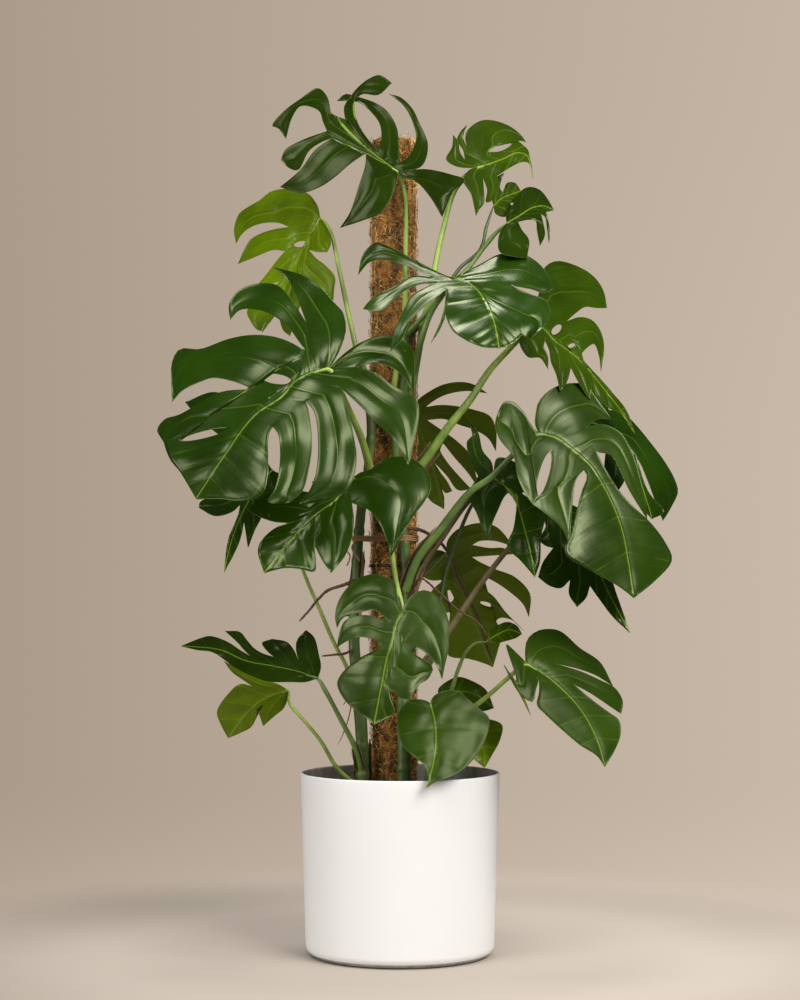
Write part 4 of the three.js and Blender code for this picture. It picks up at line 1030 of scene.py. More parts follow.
class Leaf:
    """One leaf: its midrib, and the bent sheet that it lies near."""

    def __init__(self, name):
        base, self.depth, facing, self.droop, midrib, *self.sides = LEAVES[name]
        self.base = read_path(base)[0]
        middle = read_path(midrib)
        self.midrib = Path([self.base, *middle])
        self.out = np.array(facing, float)
        self.out /= np.linalg.norm(self.out)
        self.along = (middle[-1] - self.base) / np.linalg.norm(middle[-1] - self.base)

    def place(self, points, lift=0.0):
        """Points of the picture put on the leaf, and lifted off it."""
        per_pixel = (self.depth - EYE_Y) / PICTURE_SCALE
        x = (points[..., 0] - self.base[0]) * per_pixel
        z = (self.base[1] - points[..., 1]) * per_pixel
        along_x, along_z = self.along[0], -self.along[1]
        along = x * along_x + z * along_z
        across = x * along_z - z * along_x
        sag = (self.droop[0] * along**2 + self.droop[1] * across**2) / 1000
        out = self.out
        return at_depth(points, self.depth - (out[0] * x + out[2] * z + sag - lift) / out[1])


def dense(points, spacing=0.6):
    """A line of points with short even steps, for measuring distances to."""
    steps = np.linalg.norm(np.diff(points, axis=0), axis=1)
    length = np.concatenate([[0.0], np.cumsum(steps)])
    marks = np.arange(0, length[-1], spacing)
    return np.stack([np.interp(marks, length, column) for column in points.T], -1)


def distances(points, lines):
    """How far each point is from the nearest of some lines."""
    targets = np.vstack([dense(line) for line in lines])
    tree = KDTree(len(targets))
    for index, target in enumerate(targets):
        tree.insert(target, index)
    tree.balance()
    return np.array([tree.find(point)[2] for point in points])


def blade_sheet(leaf, settings, seed):
    """A blade without thickness: a function from lift to points, its lifts, faces and veins."""
    most = max(len(read_side(side)) for side in leaf.sides)
    steps = 2 * max(most - 1, 1) + TIP_STEPS
    sub = max(SUB_COLUMNS, 2 * math.ceil(LEAST_COLUMNS / steps / 2))
    holed = any("o" in side for side in leaf.sides)
    halves = [
        HalfBlade(side, leaf.midrib, steps, holed, sub, settings, seed + number)
        for number, side in enumerate(leaf.sides)
    ]
    pictures, lifts, maps, quads, veins, side_veins = [], [], [], [], [], []
    total = 0
    for half in halves:
        own = []
        for grid in half.grids:
            wide, high = grid["spots"].shape[:2]
            pictures.append(grid["spots"].reshape(-1, 2))
            lifts.append(grid["lift"].reshape(-1))
            maps.append(grid["map"].reshape(-1, 2))
            veins += [leaf.place(line) for line in grid["veins"]]
            side_veins += [leaf.place(line) for line in grid["side_veins"]]
            index = total + np.arange(wide * high).reshape(wide, high)
            own.append(grid_faces(index))
            total += wide * high
        quads.append(np.vstack(own))
    pictures, lifts, maps = np.vstack(pictures), np.concatenate(lifts), np.vstack(maps)
    points = leaf.place(pictures, lifts)
    for number in (0, 1):
        a, b, c, d = (points[quads[number][:, corner]] for corner in range(4))
        if np.cross(c - a, d - b).dot(leaf.out).sum() < 0:
            quads[number] = quads[number][:, ::-1]
    quads = np.vstack(quads)
    rounded = np.round(pictures, 3)
    _, kept, merged = np.unique(rounded, axis=0, return_index=True, return_inverse=True)
    faces, corners = [], []
    for quad, spots in zip(merged.reshape(-1)[quads], quads):
        face = [(v, s) for n, (v, s) in enumerate(zip(quad, spots)) if v != quad[n - 1]]
        if len(face) > 2 and len({v for v, _ in face}) == len(face):
            faces.append([int(v) for v, _ in face])
            corners.extend(maps[s] for _, s in face)
    spine = leaf.place(leaf.midrib.at(np.linspace(0, 1, 80)))

    def lifted(lift):
        return leaf.place(pictures[kept], lift)

    return lifted, lifts[kept], faces, np.array(corners), spine, veins, side_veins


def edge_lines(faces):
    """The edges that only one face uses, each in its face's direction."""
    used = {}
    for face in faces:
        for a, b in zip(face, face[1:] + face[:1]):
            used[(a, b)] = used.get((a, b), 0) + 1
    return [edge for edge in used if (edge[1], edge[0]) not in used]


def point_normals(points, faces):
    normals = np.zeros_like(points)
    for face in faces:
        a, b, c, d = points[face[0]], points[face[1]], points[face[2]], points[face[-1]]
        normals[face] += np.cross(c - a, d - b)
    normals /= np.linalg.norm(normals, axis=1, keepdims=True) + 1e-12
    return normals


def undulation(points, size, swell, seed):
    """Slow swells and dents of a blade, which break up what it mirrors."""
    random = np.random.RandomState(SWELL_SEED + seed)
    total = np.zeros(len(points))
    for _ in range(SWELLS):
        way = random.normal(size=3)
        length = size * random.uniform(0.14, 0.34)
        phase = points @ (way / np.linalg.norm(way)) * 2 * math.pi / length
        total += swell * length * np.sin(phase + random.uniform(0, 2 * math.pi))
    return total


def bell(distance, width):
    return np.exp(-((distance / width) ** 2))


def leaf_mesh(name, settings, seed):
    """A closed blade: relief above, ribs below, and numbers for its colours."""
    sheet = blade_sheet(Leaf(name), settings, seed)
    lifted, lift, faces, corners, spine, veins, side_veins = sheet
    points = lifted(lift)
    rim_edges = edge_lines(faces)
    rib = distances(points, [spine])
    vein = distances(points, veins)
    if side_veins:
        vein = np.minimum(vein, 1.2 + 1.6 * distances(points, side_veins))
    rim = distances(points, [points[list(edge)] for edge in rim_edges])
    size = np.ptp(points, axis=0).max()
    reach = np.linalg.norm(points - spine[0], axis=1)
    share = np.clip(reach / np.linalg.norm(spine[-1] - spine[0]), 0, 1)
    strong = 1 - 0.6 * share
    scale = min(1.0, size / FULL_SIZE)
    curl = -EDGE_CURL * scale * np.exp(-rim / EDGE_CURL_WIDTH)
    trough = RIB_TROUGH * bell(rib, RIB_TROUGH_WIDTH)
    relief = scale * strong * (RIB_RIDGE * bell(rib, RIB_RIDGE_WIDTH) - trough)
    relief -= VEIN_TROUGH * scale * bell(vein, VEIN_TROUGH_WIDTH)
    half = settings.thickness / MM / 2 * (1 - EDGE_THINNING * np.exp(-rim / EDGE_THINNING_WIDTH))
    below = RIB_BELOW * scale * strong * bell(rib, RIB_BELOW_WIDTH)
    below = below + VEIN_BELOW * scale * bell(vein, VEIN_BELOW_WIDTH)
    swells = undulation(points, size, settings.swell, seed)
    middle = lifted(lift + swells + (relief + curl) * np.clip(rim / 3, 0, 1))
    normals = point_normals(middle, faces)
    upper = middle + normals * half[:, None]
    lower = middle - normals * (half + below)[:, None]
    count = len(points)
    flipped = [[v + count for v in face[::-1]] for face in faces]
    walls = [[b, a, a + count, b + count] for a, b in rim_edges]
    mesh = mesh_of("leaf_" + name, np.vstack([upper, lower]), faces + flipped + walls)
    smooth_faces(mesh)
    for label, values in (("rib", rib), ("vein", vein), ("rim", rim)):
        store(mesh, label, np.tile(values, 2))
    store(mesh, "under", np.repeat([0.0, 1.0], count))
    map_leaf(mesh, faces, corners, len(walls))
    return mesh


def map_leaf(mesh, faces, corners, walls):
    """UV corners in metres along and across the lobes, the same above and below."""
    below = []
    start = 0
    for face in faces:
        below.append(corners[start:start + len(face)][::-1])
        start += len(face)
    whole = np.vstack([corners, *below, np.zeros((4 * walls, 2))]) * MM
    layer = mesh.uv_layers.new(name="lobes")
    if len(layer.data) == len(whole):
        layer.data.foreach_set("uv", whole.astype(np.float32).ravel())


SHEEN_TINT = (0.92, 1.0, 0.60, 1.0)
FLECK = (0.35, 0.36, 0.08)
# For each tone: how much rougher it is than a mature leaf, its specular level
# and how plain its side veins are
TONE_GLOSS = {
    "mature": (0.0, 0.45, 0.30), "satin": (0.07, 0.45, 0.30), "dull": (0.10, 0.22, 0.25),
    "deep": (0.0, 0.16, 0.08), "fresh": (0.02, 0.20, 0.24), "young": (0.02, 0.20, 0.40),
}


def leaf_material(tone, settings):
    """A waxy leaf: mottled green above with pale ribs and edge, dull and paler below, partly from painted
    light through the blade.
    """
    material, graph = new_material("leaf_" + tone)
    body, vein = getattr(settings, tone), settings.vein
    rougher, specular, plain = TONE_GLOSS[tone]
    place = graph.place()
    cloud = graph.noise(place, 9.0, 3.0, 0.55)
    mottle = graph.noise(place, 60.0, 4.0, 0.6)
    streak = graph.noise(graph.surface_map(420.0, 26.0), 1.0, 2.0, 0.5)
    rib, side, rim, under = (graph.attribute(name) for name in ("rib", "vein", "rim", "under"))
    dark = shade(body, 0.62)
    light = shade(body, 1.45)
    warm = (light[0] * 1.5, light[1] * 1.12, light[2] * 0.8)
    top = graph.mix((cloud - 0.35) * 2.2, dark, light)
    top = graph.mix((mottle - 0.45).clamped() * 0.9, top, body)
    top = graph.mix(streak.fade(0.75, 0.45) * 0.22, top, warm)
    top = graph.mix(rib.fade(1.5, 12.0) * 0.22, top, warm)
    top = graph.mix(side.fade(0.4, 3.5) * (0.7 * plain), top, warm)
    top = graph.mix(side.fade(0.3, 1.4) * plain, top, vein)
    top = graph.mix(rib.fade(0.4, 1.6) * 0.80, top, vein)
    top = graph.mix(rim.fade(0.0, 0.7) * 0.35, top, settings.margin)
    fleck = graph.cells(place, 55.0)
    top = graph.mix(fleck.fade(0.03, 0.06) * mottle.fade(0.66, 0.6), top, FLECK)
    # The underside is paler than the top, and raised further as painted light: the glow of light through
    # the blade
    pale = (0.5 * body[0] + 0.100, 0.6 * body[1] + 0.150, 0.5 * body[2] + 0.0005)
    back = graph.mix((cloud - 0.3) * 1.5, shade(pale, 0.75), pale)
    back = graph.mix(rib.fade(1.0, 3.2) * 0.9, back, vein)
    back = graph.mix(side.fade(0.3, 1.6) * 0.6, back, vein)
    colour = graph.mix(under, top, back)
    gloss = (mottle - 0.5) * 0.12 + under * 0.26 + (settings.gloss + rougher)
    folds = graph.noise(graph.surface_map(75.0, 11.0), 1.0, 2.0, 0.55)
    normal = graph.bump(folds, 0.004, 0.2)
    normal = graph.bump(streak * 0.6 + mottle * 0.4, 0.0006, 0.2, normal)
    finish_with(
        graph, Base_Color=colour, Roughness=gloss, Normal=normal,
        Specular_IOR_Level=specular, Specular_Tint=SHEEN_TINT,
    )
    return material


class PLANT_OT_leaves(bpy.types.Operator):
    """Split and holed leaves, each a closed blade with ribs, veins and a thin pale edge"""

    bl_idname = "plant.leaves"
    bl_label = "Leaves"

    def execute(self, context):
        settings = context.scene.plant_leaves
        materials = {tone: leaf_material(tone, settings) for tone in TONE_GLOSS}
        for number, name in enumerate(LEAVES):
            mesh = leaf_mesh(name, settings, 10 * number)
            tone = LEAF_TONES.get(name, "mature")
            place_piece(mesh, materials[tone], ["blade_" + name])
        return {"FINISHED"}


# Stems, stalks, roots, ties

# A stem's joints: how far they swell, how deep the scar above is, and the gaps between them
JOINT_SWELL, JOINT_SCAR, JOINT_GAPS = 0.14, 0.05, (38, 70)
# A stalk's swollen joint: how far before the leaf, how much and how long
STALK_JOINT, STALK_SWELL, STALK_JOINT_LENGTH = 50, 0.15, 10
# Bark and dry sheaths: the stretch, scale, detail and roughness of their streaks, their darkest
# and palest share, the scale, level, strength and colour of their patches, and how rough they are
BARK = ((0.35, 260.0, 4.0, 0.65), (0.4, 1.5), (40.0, 0.5, 1.2, (0.14, 0.13, 0.05)), 0.78)
HUSK = ((0.1, 420.0, 3.0, 0.6), (0.35, 1.0), (60.0, 0.45, 1.6, (0.42, 0.29, 0.15)), 0.72)


def rod_tree():
    """Round rods along the edges of a mesh, whose points hold their girth."""
    tree, graph, given = geometry_tree("rods", Sides="Int", Relief="Float", Grain="Float")
    line = graph.value("GeometryNodeMeshToCurve", None, {0: given["Geometry"]})
    inputs = {"Resolution": given["Sides"], "Radius": 1.0}
    ring = graph.value("GeometryNodeCurvePrimitiveCircle", None, inputs)
    inputs = {"Name": "girth"}
    girth = graph.value("GeometryNodeInputNamedAttribute", {"data_type": "FLOAT"}, inputs)
    inputs = {"Curve": line, "Profile Curve": ring, "Scale": girth, "Fill Caps": True}
    rod = graph.value("GeometryNodeCurveToMesh", None, inputs)
    rough = roughened(graph, rod, given["Grain"], 3.0, 0.5, 0.5, given["Relief"])
    end_tree(graph, rough, given["Material"])
    return tree


def rod_lines(name, lines):
    """A mesh of edges alone from lines of points and radii in millimetres."""
    points, edges, girths = [], [], []
    for line, radii in lines:
        start = len(points)
        points.extend((line * MM).tolist())
        edges.extend((start + n, start + n + 1) for n in range(len(line) - 1))
        girths.extend(radii * MM)
    mesh = bpy.data.meshes.new(name)
    mesh.from_pydata(points, edges, [])
    store(mesh, "girth", girths)
    return mesh


def place_rods(name, lines, material, cut, nodes=()):
    """Grows round rods along lines, and places them as one piece."""
    sides, relief, grain = cut
    tree = bpy.data.node_groups.get("rods") or rod_tree()
    inputs = {"Sides": sides, "Relief": relief, "Grain": grain, "Material": material}
    place_piece(grow(rod_lines(name, lines), name, tree, inputs), material, nodes)


def stem_path(text):
    knots = read_path(text)
    return Path(at_depth(knots[:, :2], knots[:, 2]))


def steps_of(path, spacing=2.5):
    return np.linspace(0, 1, max(8, int(path.length / spacing)))


def stem_line(name):
    """A stem with swollen joints a hand's breadth or less apart."""
    ends, text = STEMS[name]
    path = stem_path(text)
    share = steps_of(path)
    radii = np.interp(share, [0, 1], ends)
    random = np.random.RandomState(STEM_SEED + list(STEMS).index(name))
    place = random.uniform(20, 60)
    distance = share * path.length
    while place < path.length:
        scar = JOINT_SCAR * bell(distance - place - 9, 4)
        radii *= 1 + JOINT_SWELL * bell(distance - place, 5) - scar
        place += random.uniform(*JOINT_GAPS)
    radii[-6:] *= np.linspace(1, 0.45, 6)
    return path.at(share), radii


def stalk_line(name, stalk):
    """A stalk that swells at its joint and runs on under the midrib."""
    leaf = Leaf(name)
    (start, end), text = stalk
    knots = read_path(text)
    knots = at_depth(knots[:, :2], knots[:, 2])
    reach = min(0.09, 26 / max(leaf.midrib.length * 1.6, 1))
    drop = np.array([[end * 0.8], [2.4]])
    under = leaf.place(leaf.midrib.at([0.0, reach])) - leaf.out * drop
    path = Path(np.vstack([knots, under]))
    share = steps_of(path)
    radii = np.interp(share, [0, 0.12, 0.8, 1], [start * 1.15, start, end, end])
    distance = (1 - share) * path.length
    radii *= 1 + STALK_SWELL * bell(distance - STALK_JOINT, STALK_JOINT_LENGTH)
    radii *= np.interp(distance, [0, 14, 40], [0.3, 0.6, 1.0])
    return path.at(share), radii


def root_line(root, random):
    """An aerial root, a little crooked, that ends in a blunt tip."""
    ends, text = root
    path = stem_path(text)
    share = steps_of(path, 2.0)
    line = path.at(share)
    shift = np.cumsum(random.normal(0, 0.22, line.shape), axis=0)
    shift -= share[:, None] * shift[-1]
    radii = np.interp(share, [0, 1], ends) * (1 + 0.06 * random.normal(size=len(share)))
    radii[-3:] *= (0.85, 0.6, 0.25)
    return line + shift, radii


def green_rod_material(name, colour, ring, flecks):
    """A smooth green stalk with paler and darker streaks along it and small brown flecks."""
    material, graph = new_material(name)
    long = graph.noise(graph.place(0.12), 150.0, 3.0)
    cloud = graph.noise(graph.place(), 22.0, 3.0)
    spots = graph.noise(graph.place(0.4), 240.0, 2.0, 0.6)
    dark = shade(colour, 0.55)
    light = (min(1.0, 1.5 * colour[0]), min(1.0, 1.35 * colour[1]), 1.3 * colour[2])
    skin = graph.mix((cloud - 0.3) * 2.2, dark, light)
    skin = graph.mix((long - 0.4) * 1.1, skin, colour)
    skin = graph.mix(spots.fade(0.72, 0.62) * flecks, skin, ring)
    height = long * 0.7 + spots * 0.3
    gloss = 0.42 + (cloud - 0.5) * 0.2
    finish_with(graph, Base_Color=skin, Roughness=gloss, Normal=graph.bump(height, 0.0007, 0.5))
    return material


def dry_material(name, colour, streaks, shades, patches, roughness):
    """Dry plant skin with streaks along it and patches of another colour."""
    material, graph = new_material(name)
    upright, *fineness = streaks
    streak = graph.noise(graph.place(upright), *fineness)
    fine, level, strength, tint = patches
    cloud = graph.noise(graph.place(), fine)
    darkest, palest = (shade(colour, share) for share in shades)
    skin = graph.mix((streak - 0.3) * 2.0, darkest, palest)
    skin = graph.mix((cloud - level).clamped() * strength, skin, tint)
    bump = graph.bump(streak, 0.0012, 0.8)
    finish_with(graph, Base_Color=skin, Roughness=roughness, Normal=bump)
    return material


class PLANT_OT_stems(bpy.types.Operator):
    """Climbing stems with swollen joints and scars"""

    bl_idname = "plant.stems"
    bl_label = "Stems"

    def execute(self, context):
        settings = context.scene.plant_stems
        material = green_rod_material("stem_skin", settings.stem, settings.ring, 0.75)
        for name in STEMS:
            lines = [stem_line(name)]
            if name == "stem_low":
                lines += [stalk_line(stalk, data) for stalk, data in BASAL_STALKS.items()]
            place_rods(name + "_skin", lines, material, STEM_CUT, [name])
        return {"FINISHED"}


class PLANT_OT_stalks(bpy.types.Operator):
    """Leaf stalks, from their stem to under each midrib"""

    bl_idname = "plant.stalks"
    bl_label = "Leaf stalks"

    def execute(self, context):
        settings = context.scene.plant_stems
        materials = {}
        for tone, flecks in (("bright", 0.3), ("plain", 0.4), ("dark", 0.5), ("brown", 0.6)):
            colour = getattr(settings, tone)
            skin = green_rod_material("stalk_" + tone + "_skin", colour, settings.ring, flecks)
            materials[tone] = skin
        for name, stalk in STALKS.items():
            material = materials[STALK_TONES.get(name, "plain")]
            lines = [stalk_line(name, stalk)]
            place_rods("leafstalk_" + name, lines, material, STALK_CUT, ["stalk_" + name])
        return {"FINISHED"}


class PLANT_OT_roots(bpy.types.Operator):
    """Aerial roots that leave the stems, and the ones that cross the coir"""

    bl_idname = "plant.roots"
    bl_label = "Aerial roots"

    def execute(self, context):
        material = dry_material("root_bark", context.scene.plant_stems.root, *BARK)
        random = np.random.RandomState(ROOT_SEED)
        for name, root in ROOTS.items():
            lines = [root_line(root, random)]
            place_rods(name + "_bark", lines, material, ROOT_CUT, [name])
        radius = context.scene.plant_pole.radius / MM
        lines = [pole_root(radius, random) for _ in range(POLE_ROOTS)]
        place_rods("roots_on_pole", lines, material, THIN_ROOT_CUT)
        return {"FINISHED"}


def round_pole(reach, turns, heights):
    """Points at a distance from the middle of the pole."""
    return np.stack([POLE_X + reach * np.cos(turns), POLE_Y + reach * np.sin(turns), heights], -1)


def pole_root(radius, random):
    """A thin root that creeps over the coir, mostly near the soil."""
    count = 40
    height = SHELL_FOOT + 260 * random.uniform(0, 1) ** 1.6
    turn = random.uniform(0, 2 * math.pi)
    rise = random.uniform(-0.9, 2.4)
    share = np.linspace(0, 1, count)
    length = random.uniform(60, 150)
    wander = np.cumsum(random.normal(0, 0.035, count))
    turns = turn + (length * share * 0.7 / radius + wander) * random.choice([-1, 1])
    heights = height + length * share * rise * 0.5 + 4 * np.sin(7 * share + turn)
    sink = np.interp(share, [0, 0.1, 0.9, 1], [-3.5, 0.9, 0.9, -3.0])
    reach = radius + sink
    line = round_pole(reach, turns, heights)
    thick = random.uniform(1.1, 2.2)
    return line, np.interp(share, [0, 0.6, 1], [thick, thick * 0.8, thick * 0.5])


def tie_loop(rounds, height, strand):
    """A loop pulled tight round upright round things, as a closed line of points."""
    turns = np.linspace(0, 2 * math.pi, 240, endpoint=False)
    ways = np.stack([np.cos(turns), np.sin(turns)], -1)
    spots = []
    for way in ways:
        x, y, radius = max(rounds, key=lambda one: one[0] * way[0] + one[1] * way[1] + one[2])
        out = radius + strand
        spots.append([x + out * way[0], y + out * way[1], height])
    spots = np.array(spots)
    keep = [0]
    for index in range(1, len(spots)):
        if np.linalg.norm(spots[index] - spots[keep[-1]]) > 1.0:
            keep.append(index)
    return np.vstack([spots[keep], spots[:1]])


def twisted(line, strands, radius, lay):
    """Strands that wind round a line, lay millimetres to each turn."""
    marks = dense(line, 0.9)
    along = np.gradient(marks, axis=0)
    along /= np.linalg.norm(along, axis=1, keepdims=True)
    side = np.cross(along, (0.13, 0.27, 0.95))
    side /= np.linalg.norm(side, axis=1, keepdims=True)
    other = np.cross(along, side)
    turn = 2 * math.pi * np.arange(len(marks)) * 0.9 / lay
    result = []
    for strand in range(strands):
        phase = turn + 2 * math.pi * strand / strands
        shift = np.cos(phase)[:, None] * side + np.sin(phase)[:, None] * other
        result.append((marks + shift * radius * 0.52, np.full(len(marks), radius * 0.56)))
    return result


def fibre_material(name, colour, scale):
    """Twisted plant fibre, rough and uneven in colour."""
    material, graph = new_material(name)
    fuzz = graph.noise(graph.place(), scale, 4.0, 0.7)
    skin = graph.mix((fuzz - 0.3) * 2.2, shade(colour, 0.45), shade(colour, 1.5))
    finish_with(graph, Base_Color=skin, Roughness=0.9, Normal=graph.bump(fuzz, 0.0005, 0.8))
    return material


def stem_round(name, height):
    """Centre and radius of a stem at a height, in millimetres."""
    line, radii = stem_line(name)
    nearest = np.abs(line[:, 2] - height).argmin()
    return (line[nearest, 0], line[nearest, 1], radii[nearest])


class PLANT_OT_ties(bpy.types.Operator):
    """Jute twine round the pole and both stems with loose ends, and a thin dark cord"""

    bl_idname = "plant.ties"
    bl_label = "Ties"

    def execute(self, context):
        settings = context.scene.plant_pole
        pole = (POLE_X, POLE_Y, settings.radius / MM + 1.2)
        stems = [stem_round(name, TWINE_HEIGHT) for name in ("stem_left", "stem_right")]
        twine = fibre_material("twine_fibre", settings.twine, 900.0)
        lines = []
        for drop in TWINE_ROUNDS:
            loop = tie_loop([pole, *stems], TWINE_HEIGHT + 2 - drop, 1.5)
            lines += twisted(loop, 3, 1.5, TWINE_LAY)
        for end in TWINE_ENDS:
            lines += twisted(stem_path(end).points, 3, 1.3, TWINE_LAY)
        place_rods("twine", lines, twine, TWINE_CUT, ["twine_tie"])
        cord = fibre_material("cord_fibre", settings.cord, 900.0)
        lines = []
        for drop in CORD_ROUNDS:
            lines += twisted(tie_loop([pole], CORD_HEIGHT + 1 - drop, 1.2), 2, 1.2, CORD_LAY)
        place_rods("cord", lines, cord, CORD_CUT, ["cord_tie"])
        return {"FINISHED"}


# Dry sheaths


def frames_along(line):
    """Two directions across a line at each of its points, without twist."""
    along = np.gradient(line, axis=0)
    along /= np.linalg.norm(along, axis=1, keepdims=True)
    side = np.cross(along, (0.0, 0.0, 1.0) if abs(along[0, 2]) < 0.9 else (0.0, 1.0, 0.0))
    side /= np.linalg.norm(side, axis=1, keepdims=True)
    return side, np.cross(along, side)


def sheath_mesh(name, line, radii, widen, facing, reach, seed):
    """A papery half tube with a torn end and curled edges."""
    random = np.random.RandomState(seed)
    columns = 28
    turns = np.radians(facing + np.linspace(-reach / 2, reach / 2, columns + 1))
    side, other = frames_along(line)
    wander = np.cumsum(random.normal(0, 0.35, columns + 1))
    tear = np.clip(1 - 0.34 * np.abs(wander) % 0.5, 0.45, 1.0)
    count = len(line)
    steps = np.arange(count)
    points = np.zeros((count, columns + 1, 3))
    for number, turn in enumerate(turns):
        edge = abs(2 * number / columns - 1)
        place = np.linspace(0, tear[number], count) * (count - 1)
        centre = np.stack([np.interp(place, steps, column) for column in line.T], -1)
        radius = np.interp(place, steps, radii) * widen + 2.2 * edge**4 + 0.5 * random.rand()
        radius = radius * np.linspace(0.98, 1.12, count) + 0.4 * np.sin(0.9 * place + number)
        way = np.cos(turn) * side + np.sin(turn) * other
        points[:, number] = centre + way * radius[:, None]
    index = np.arange(count * (columns + 1)).reshape(count, columns + 1)
    mesh = mesh_of(name, points.reshape(-1, 3), grid_faces(index).tolist())
    smooth_faces(mesh)
    return mesh


class PLANT_OT_husks(bpy.types.Operator):
    """Dry sheaths round the stalks and stems, and dried tendrils"""

    bl_idname = "plant.husks"
    bl_label = "Dry sheaths"

    def execute(self, context):
        material = dry_material("husk", context.scene.plant_stems.husk, *HUSK)
        for number, (kind, name, start, end, widen, facing, reach) in enumerate(SHEATHS):
            if kind == "stalk":
                line, radii = stalk_line(name, STALKS[name])
            else:
                line, radii = stem_line(name)
            part = slice(int(start * len(line)), int(end * len(line)) + 1)
            label = "husk_{}_{}".format(number + 1, name)
            seed = SHEATH_SEED + number
            mesh = sheath_mesh(label, line[part], radii[part], widen, facing, reach, seed)
            piece = place_piece(mesh, material)
            solid = piece.modifiers.new("paper", "SOLIDIFY")
            solid.thickness = HUSK_THICKNESS
            solid.offset = 1.0
        lines = []
        for text in TENDRILS:
            path = stem_path(text)
            share = steps_of(path, 2.0)
            lines.append((path.at(share), np.interp(share, [0, 0.8, 1], [1.3, 0.8, 0.3])))
        place_rods("tendrils", lines, material, TENDRIL_CUT)
        return {"FINISHED"}


# Pole


def coir_mesh(settings):
    """A fine closed tube for the coir, lumpy like wrapped mats of fibre."""
    turn = np.linspace(0, 2 * math.pi, COIR_SIDES, endpoint=False)
    radius = settings.radius / MM
    points = []
    for height in np.linspace(POLE_FOOT, POLE_TOP, COIR_ROWS):
        wrap = np.sin(3 * turn + 0.045 * height) * np.cos(0.06 * height - 2 * turn)
        band = np.abs(np.sin(0.5 * (turn + 0.018 * height))) ** 12
        reach = radius + 0.9 * wrap - 1.2 * band
        if height > POLE_TOP - 6:
            reach = reach - 0.5 * (height - POLE_TOP + 6)
        points.append(round_pole(reach, turn, np.full(COIR_SIDES, height)))
    for height in (POLE_TOP - 3, POLE_FOOT):
        points.append(round_pole(CORE_RADIUS * 1.03, turn, np.full(COIR_SIDES, height)))
    rows = np.arange(len(points) * COIR_SIDES).reshape(-1, COIR_SIDES)
    lower, upper = rows, np.roll(rows, -1, axis=0)
    corners = (lower, np.roll(lower, -1, axis=1), np.roll(upper, -1, axis=1), upper)
    faces = np.stack([corner.ravel() for corner in corners], -1).tolist()
    return mesh_of("coir_base", np.vstack(points), faces)


def coir_tree():
    """Presses lumps into the coir, or lays loose fibres on it."""
    tree, graph, given = geometry_tree("coir", **{
        "Relief": "Float", "Fibres": "Float", "Fibre length": "Float",
        "Loose fibres only": "Bool", "Seed": "Int",
    })
    body = roughened(graph, given["Geometry"], 85.0, 5.0, 0.7, 0.55, given["Relief"])
    scatter = graph.node("GeometryNodeDistributePointsOnFaces", None, {
        "Mesh": body, "Density": given["Fibres"], "Seed": given["Seed"],
    })
    length = given["Fibre length"]
    bends = ((-0.5, 0.0, -0.02), (0.0, 0.22, 0.16), (0.5, -0.05, 0.01))
    inputs = {"Resolution": 5}
    for label, bend in zip(("Start", "Middle", "End"), bends):
        parts = {axis: length * share for axis, share in enumerate(bend)}
        inputs[label] = graph.value("ShaderNodeCombineXYZ", None, parts)
    arc = graph.value("GeometryNodeCurveQuadraticBezier", None, inputs)
    inputs = {"Resolution": 3, "Radius": 0.00038}
    ring = graph.value("GeometryNodeCurvePrimitiveCircle", None, inputs)
    inputs = {"Curve": arc, "Profile Curve": ring}
    fibre = graph.value("GeometryNodeCurveToMesh", None, inputs)
    spin = graph.random((-0.25, -0.35, 0.0), (0.25, 0.35, FULL_TURN), given["Seed"])
    turned = graph.value("FunctionNodeRotateRotation", {"rotation_space": "LOCAL"}, {
        0: Value(graph, scatter.outputs["Rotation"]), 1: spin,
    })
    inputs = {2: 0.45, 3: 1.3, "Seed": given["Seed"]}
    size = graph.value("FunctionNodeRandomValue", {"data_type": "FLOAT"}, inputs, 1)
    fibres = graph.value("GeometryNodeInstanceOnPoints", None, {
        "Points": Value(graph, scatter.outputs["Points"]), "Instance": fibre,
        "Rotation": turned, "Scale": size,
    })
    choice = graph.value("GeometryNodeSwitch", {"input_type": "GEOMETRY"}, {
        "Switch": given["Loose fibres only"], "False": body, "True": fibres,
    })
    end_tree(graph, choice, given["Material"])
    return tree


def coir_material(name, settings, loose):
    """Brown coconut fibre with painted shade in its hollows, and long fine strands."""
    material, graph = new_material(name)
    coir, dark, fibre = settings.coir, settings.coir_hollow_shade, settings.fibre
    if loose:
        tint = graph.noise(graph.place(), 150.0, 2.0)
        skin = graph.mix((tint - 0.4) * 5.0, shade(coir, 0.12), fibre)
        finish_with(graph, Base_Color=skin, Roughness=0.85)
        return material
    mats = graph.noise(graph.place(0.45), 60.0, 6.0, 0.75, 1.2)
    strand = graph.noise(graph.place(3.2), 170.0, 4.0, 0.7, 2.5)
    fuzz = graph.noise(graph.place(), 620.0, 3.0, 0.8)
    # Painted shade: the coir turns near black in the hollows between its mats and in its fuzz
    skin = graph.mix((mats - 0.44) * 6.0, dark, coir)
    skin = graph.mix((strand - 0.5).clamped() * 3.5, skin, fibre)
    skin = graph.mix((0.46 - fuzz).clamped() * 3.0, skin, dark)
    height = mats * 0.5 + strand * 0.35 + fuzz * 0.15
    finish_with(graph, Base_Color=skin, Roughness=0.95, Normal=graph.bump(height, 0.006, 0.9))
    return material


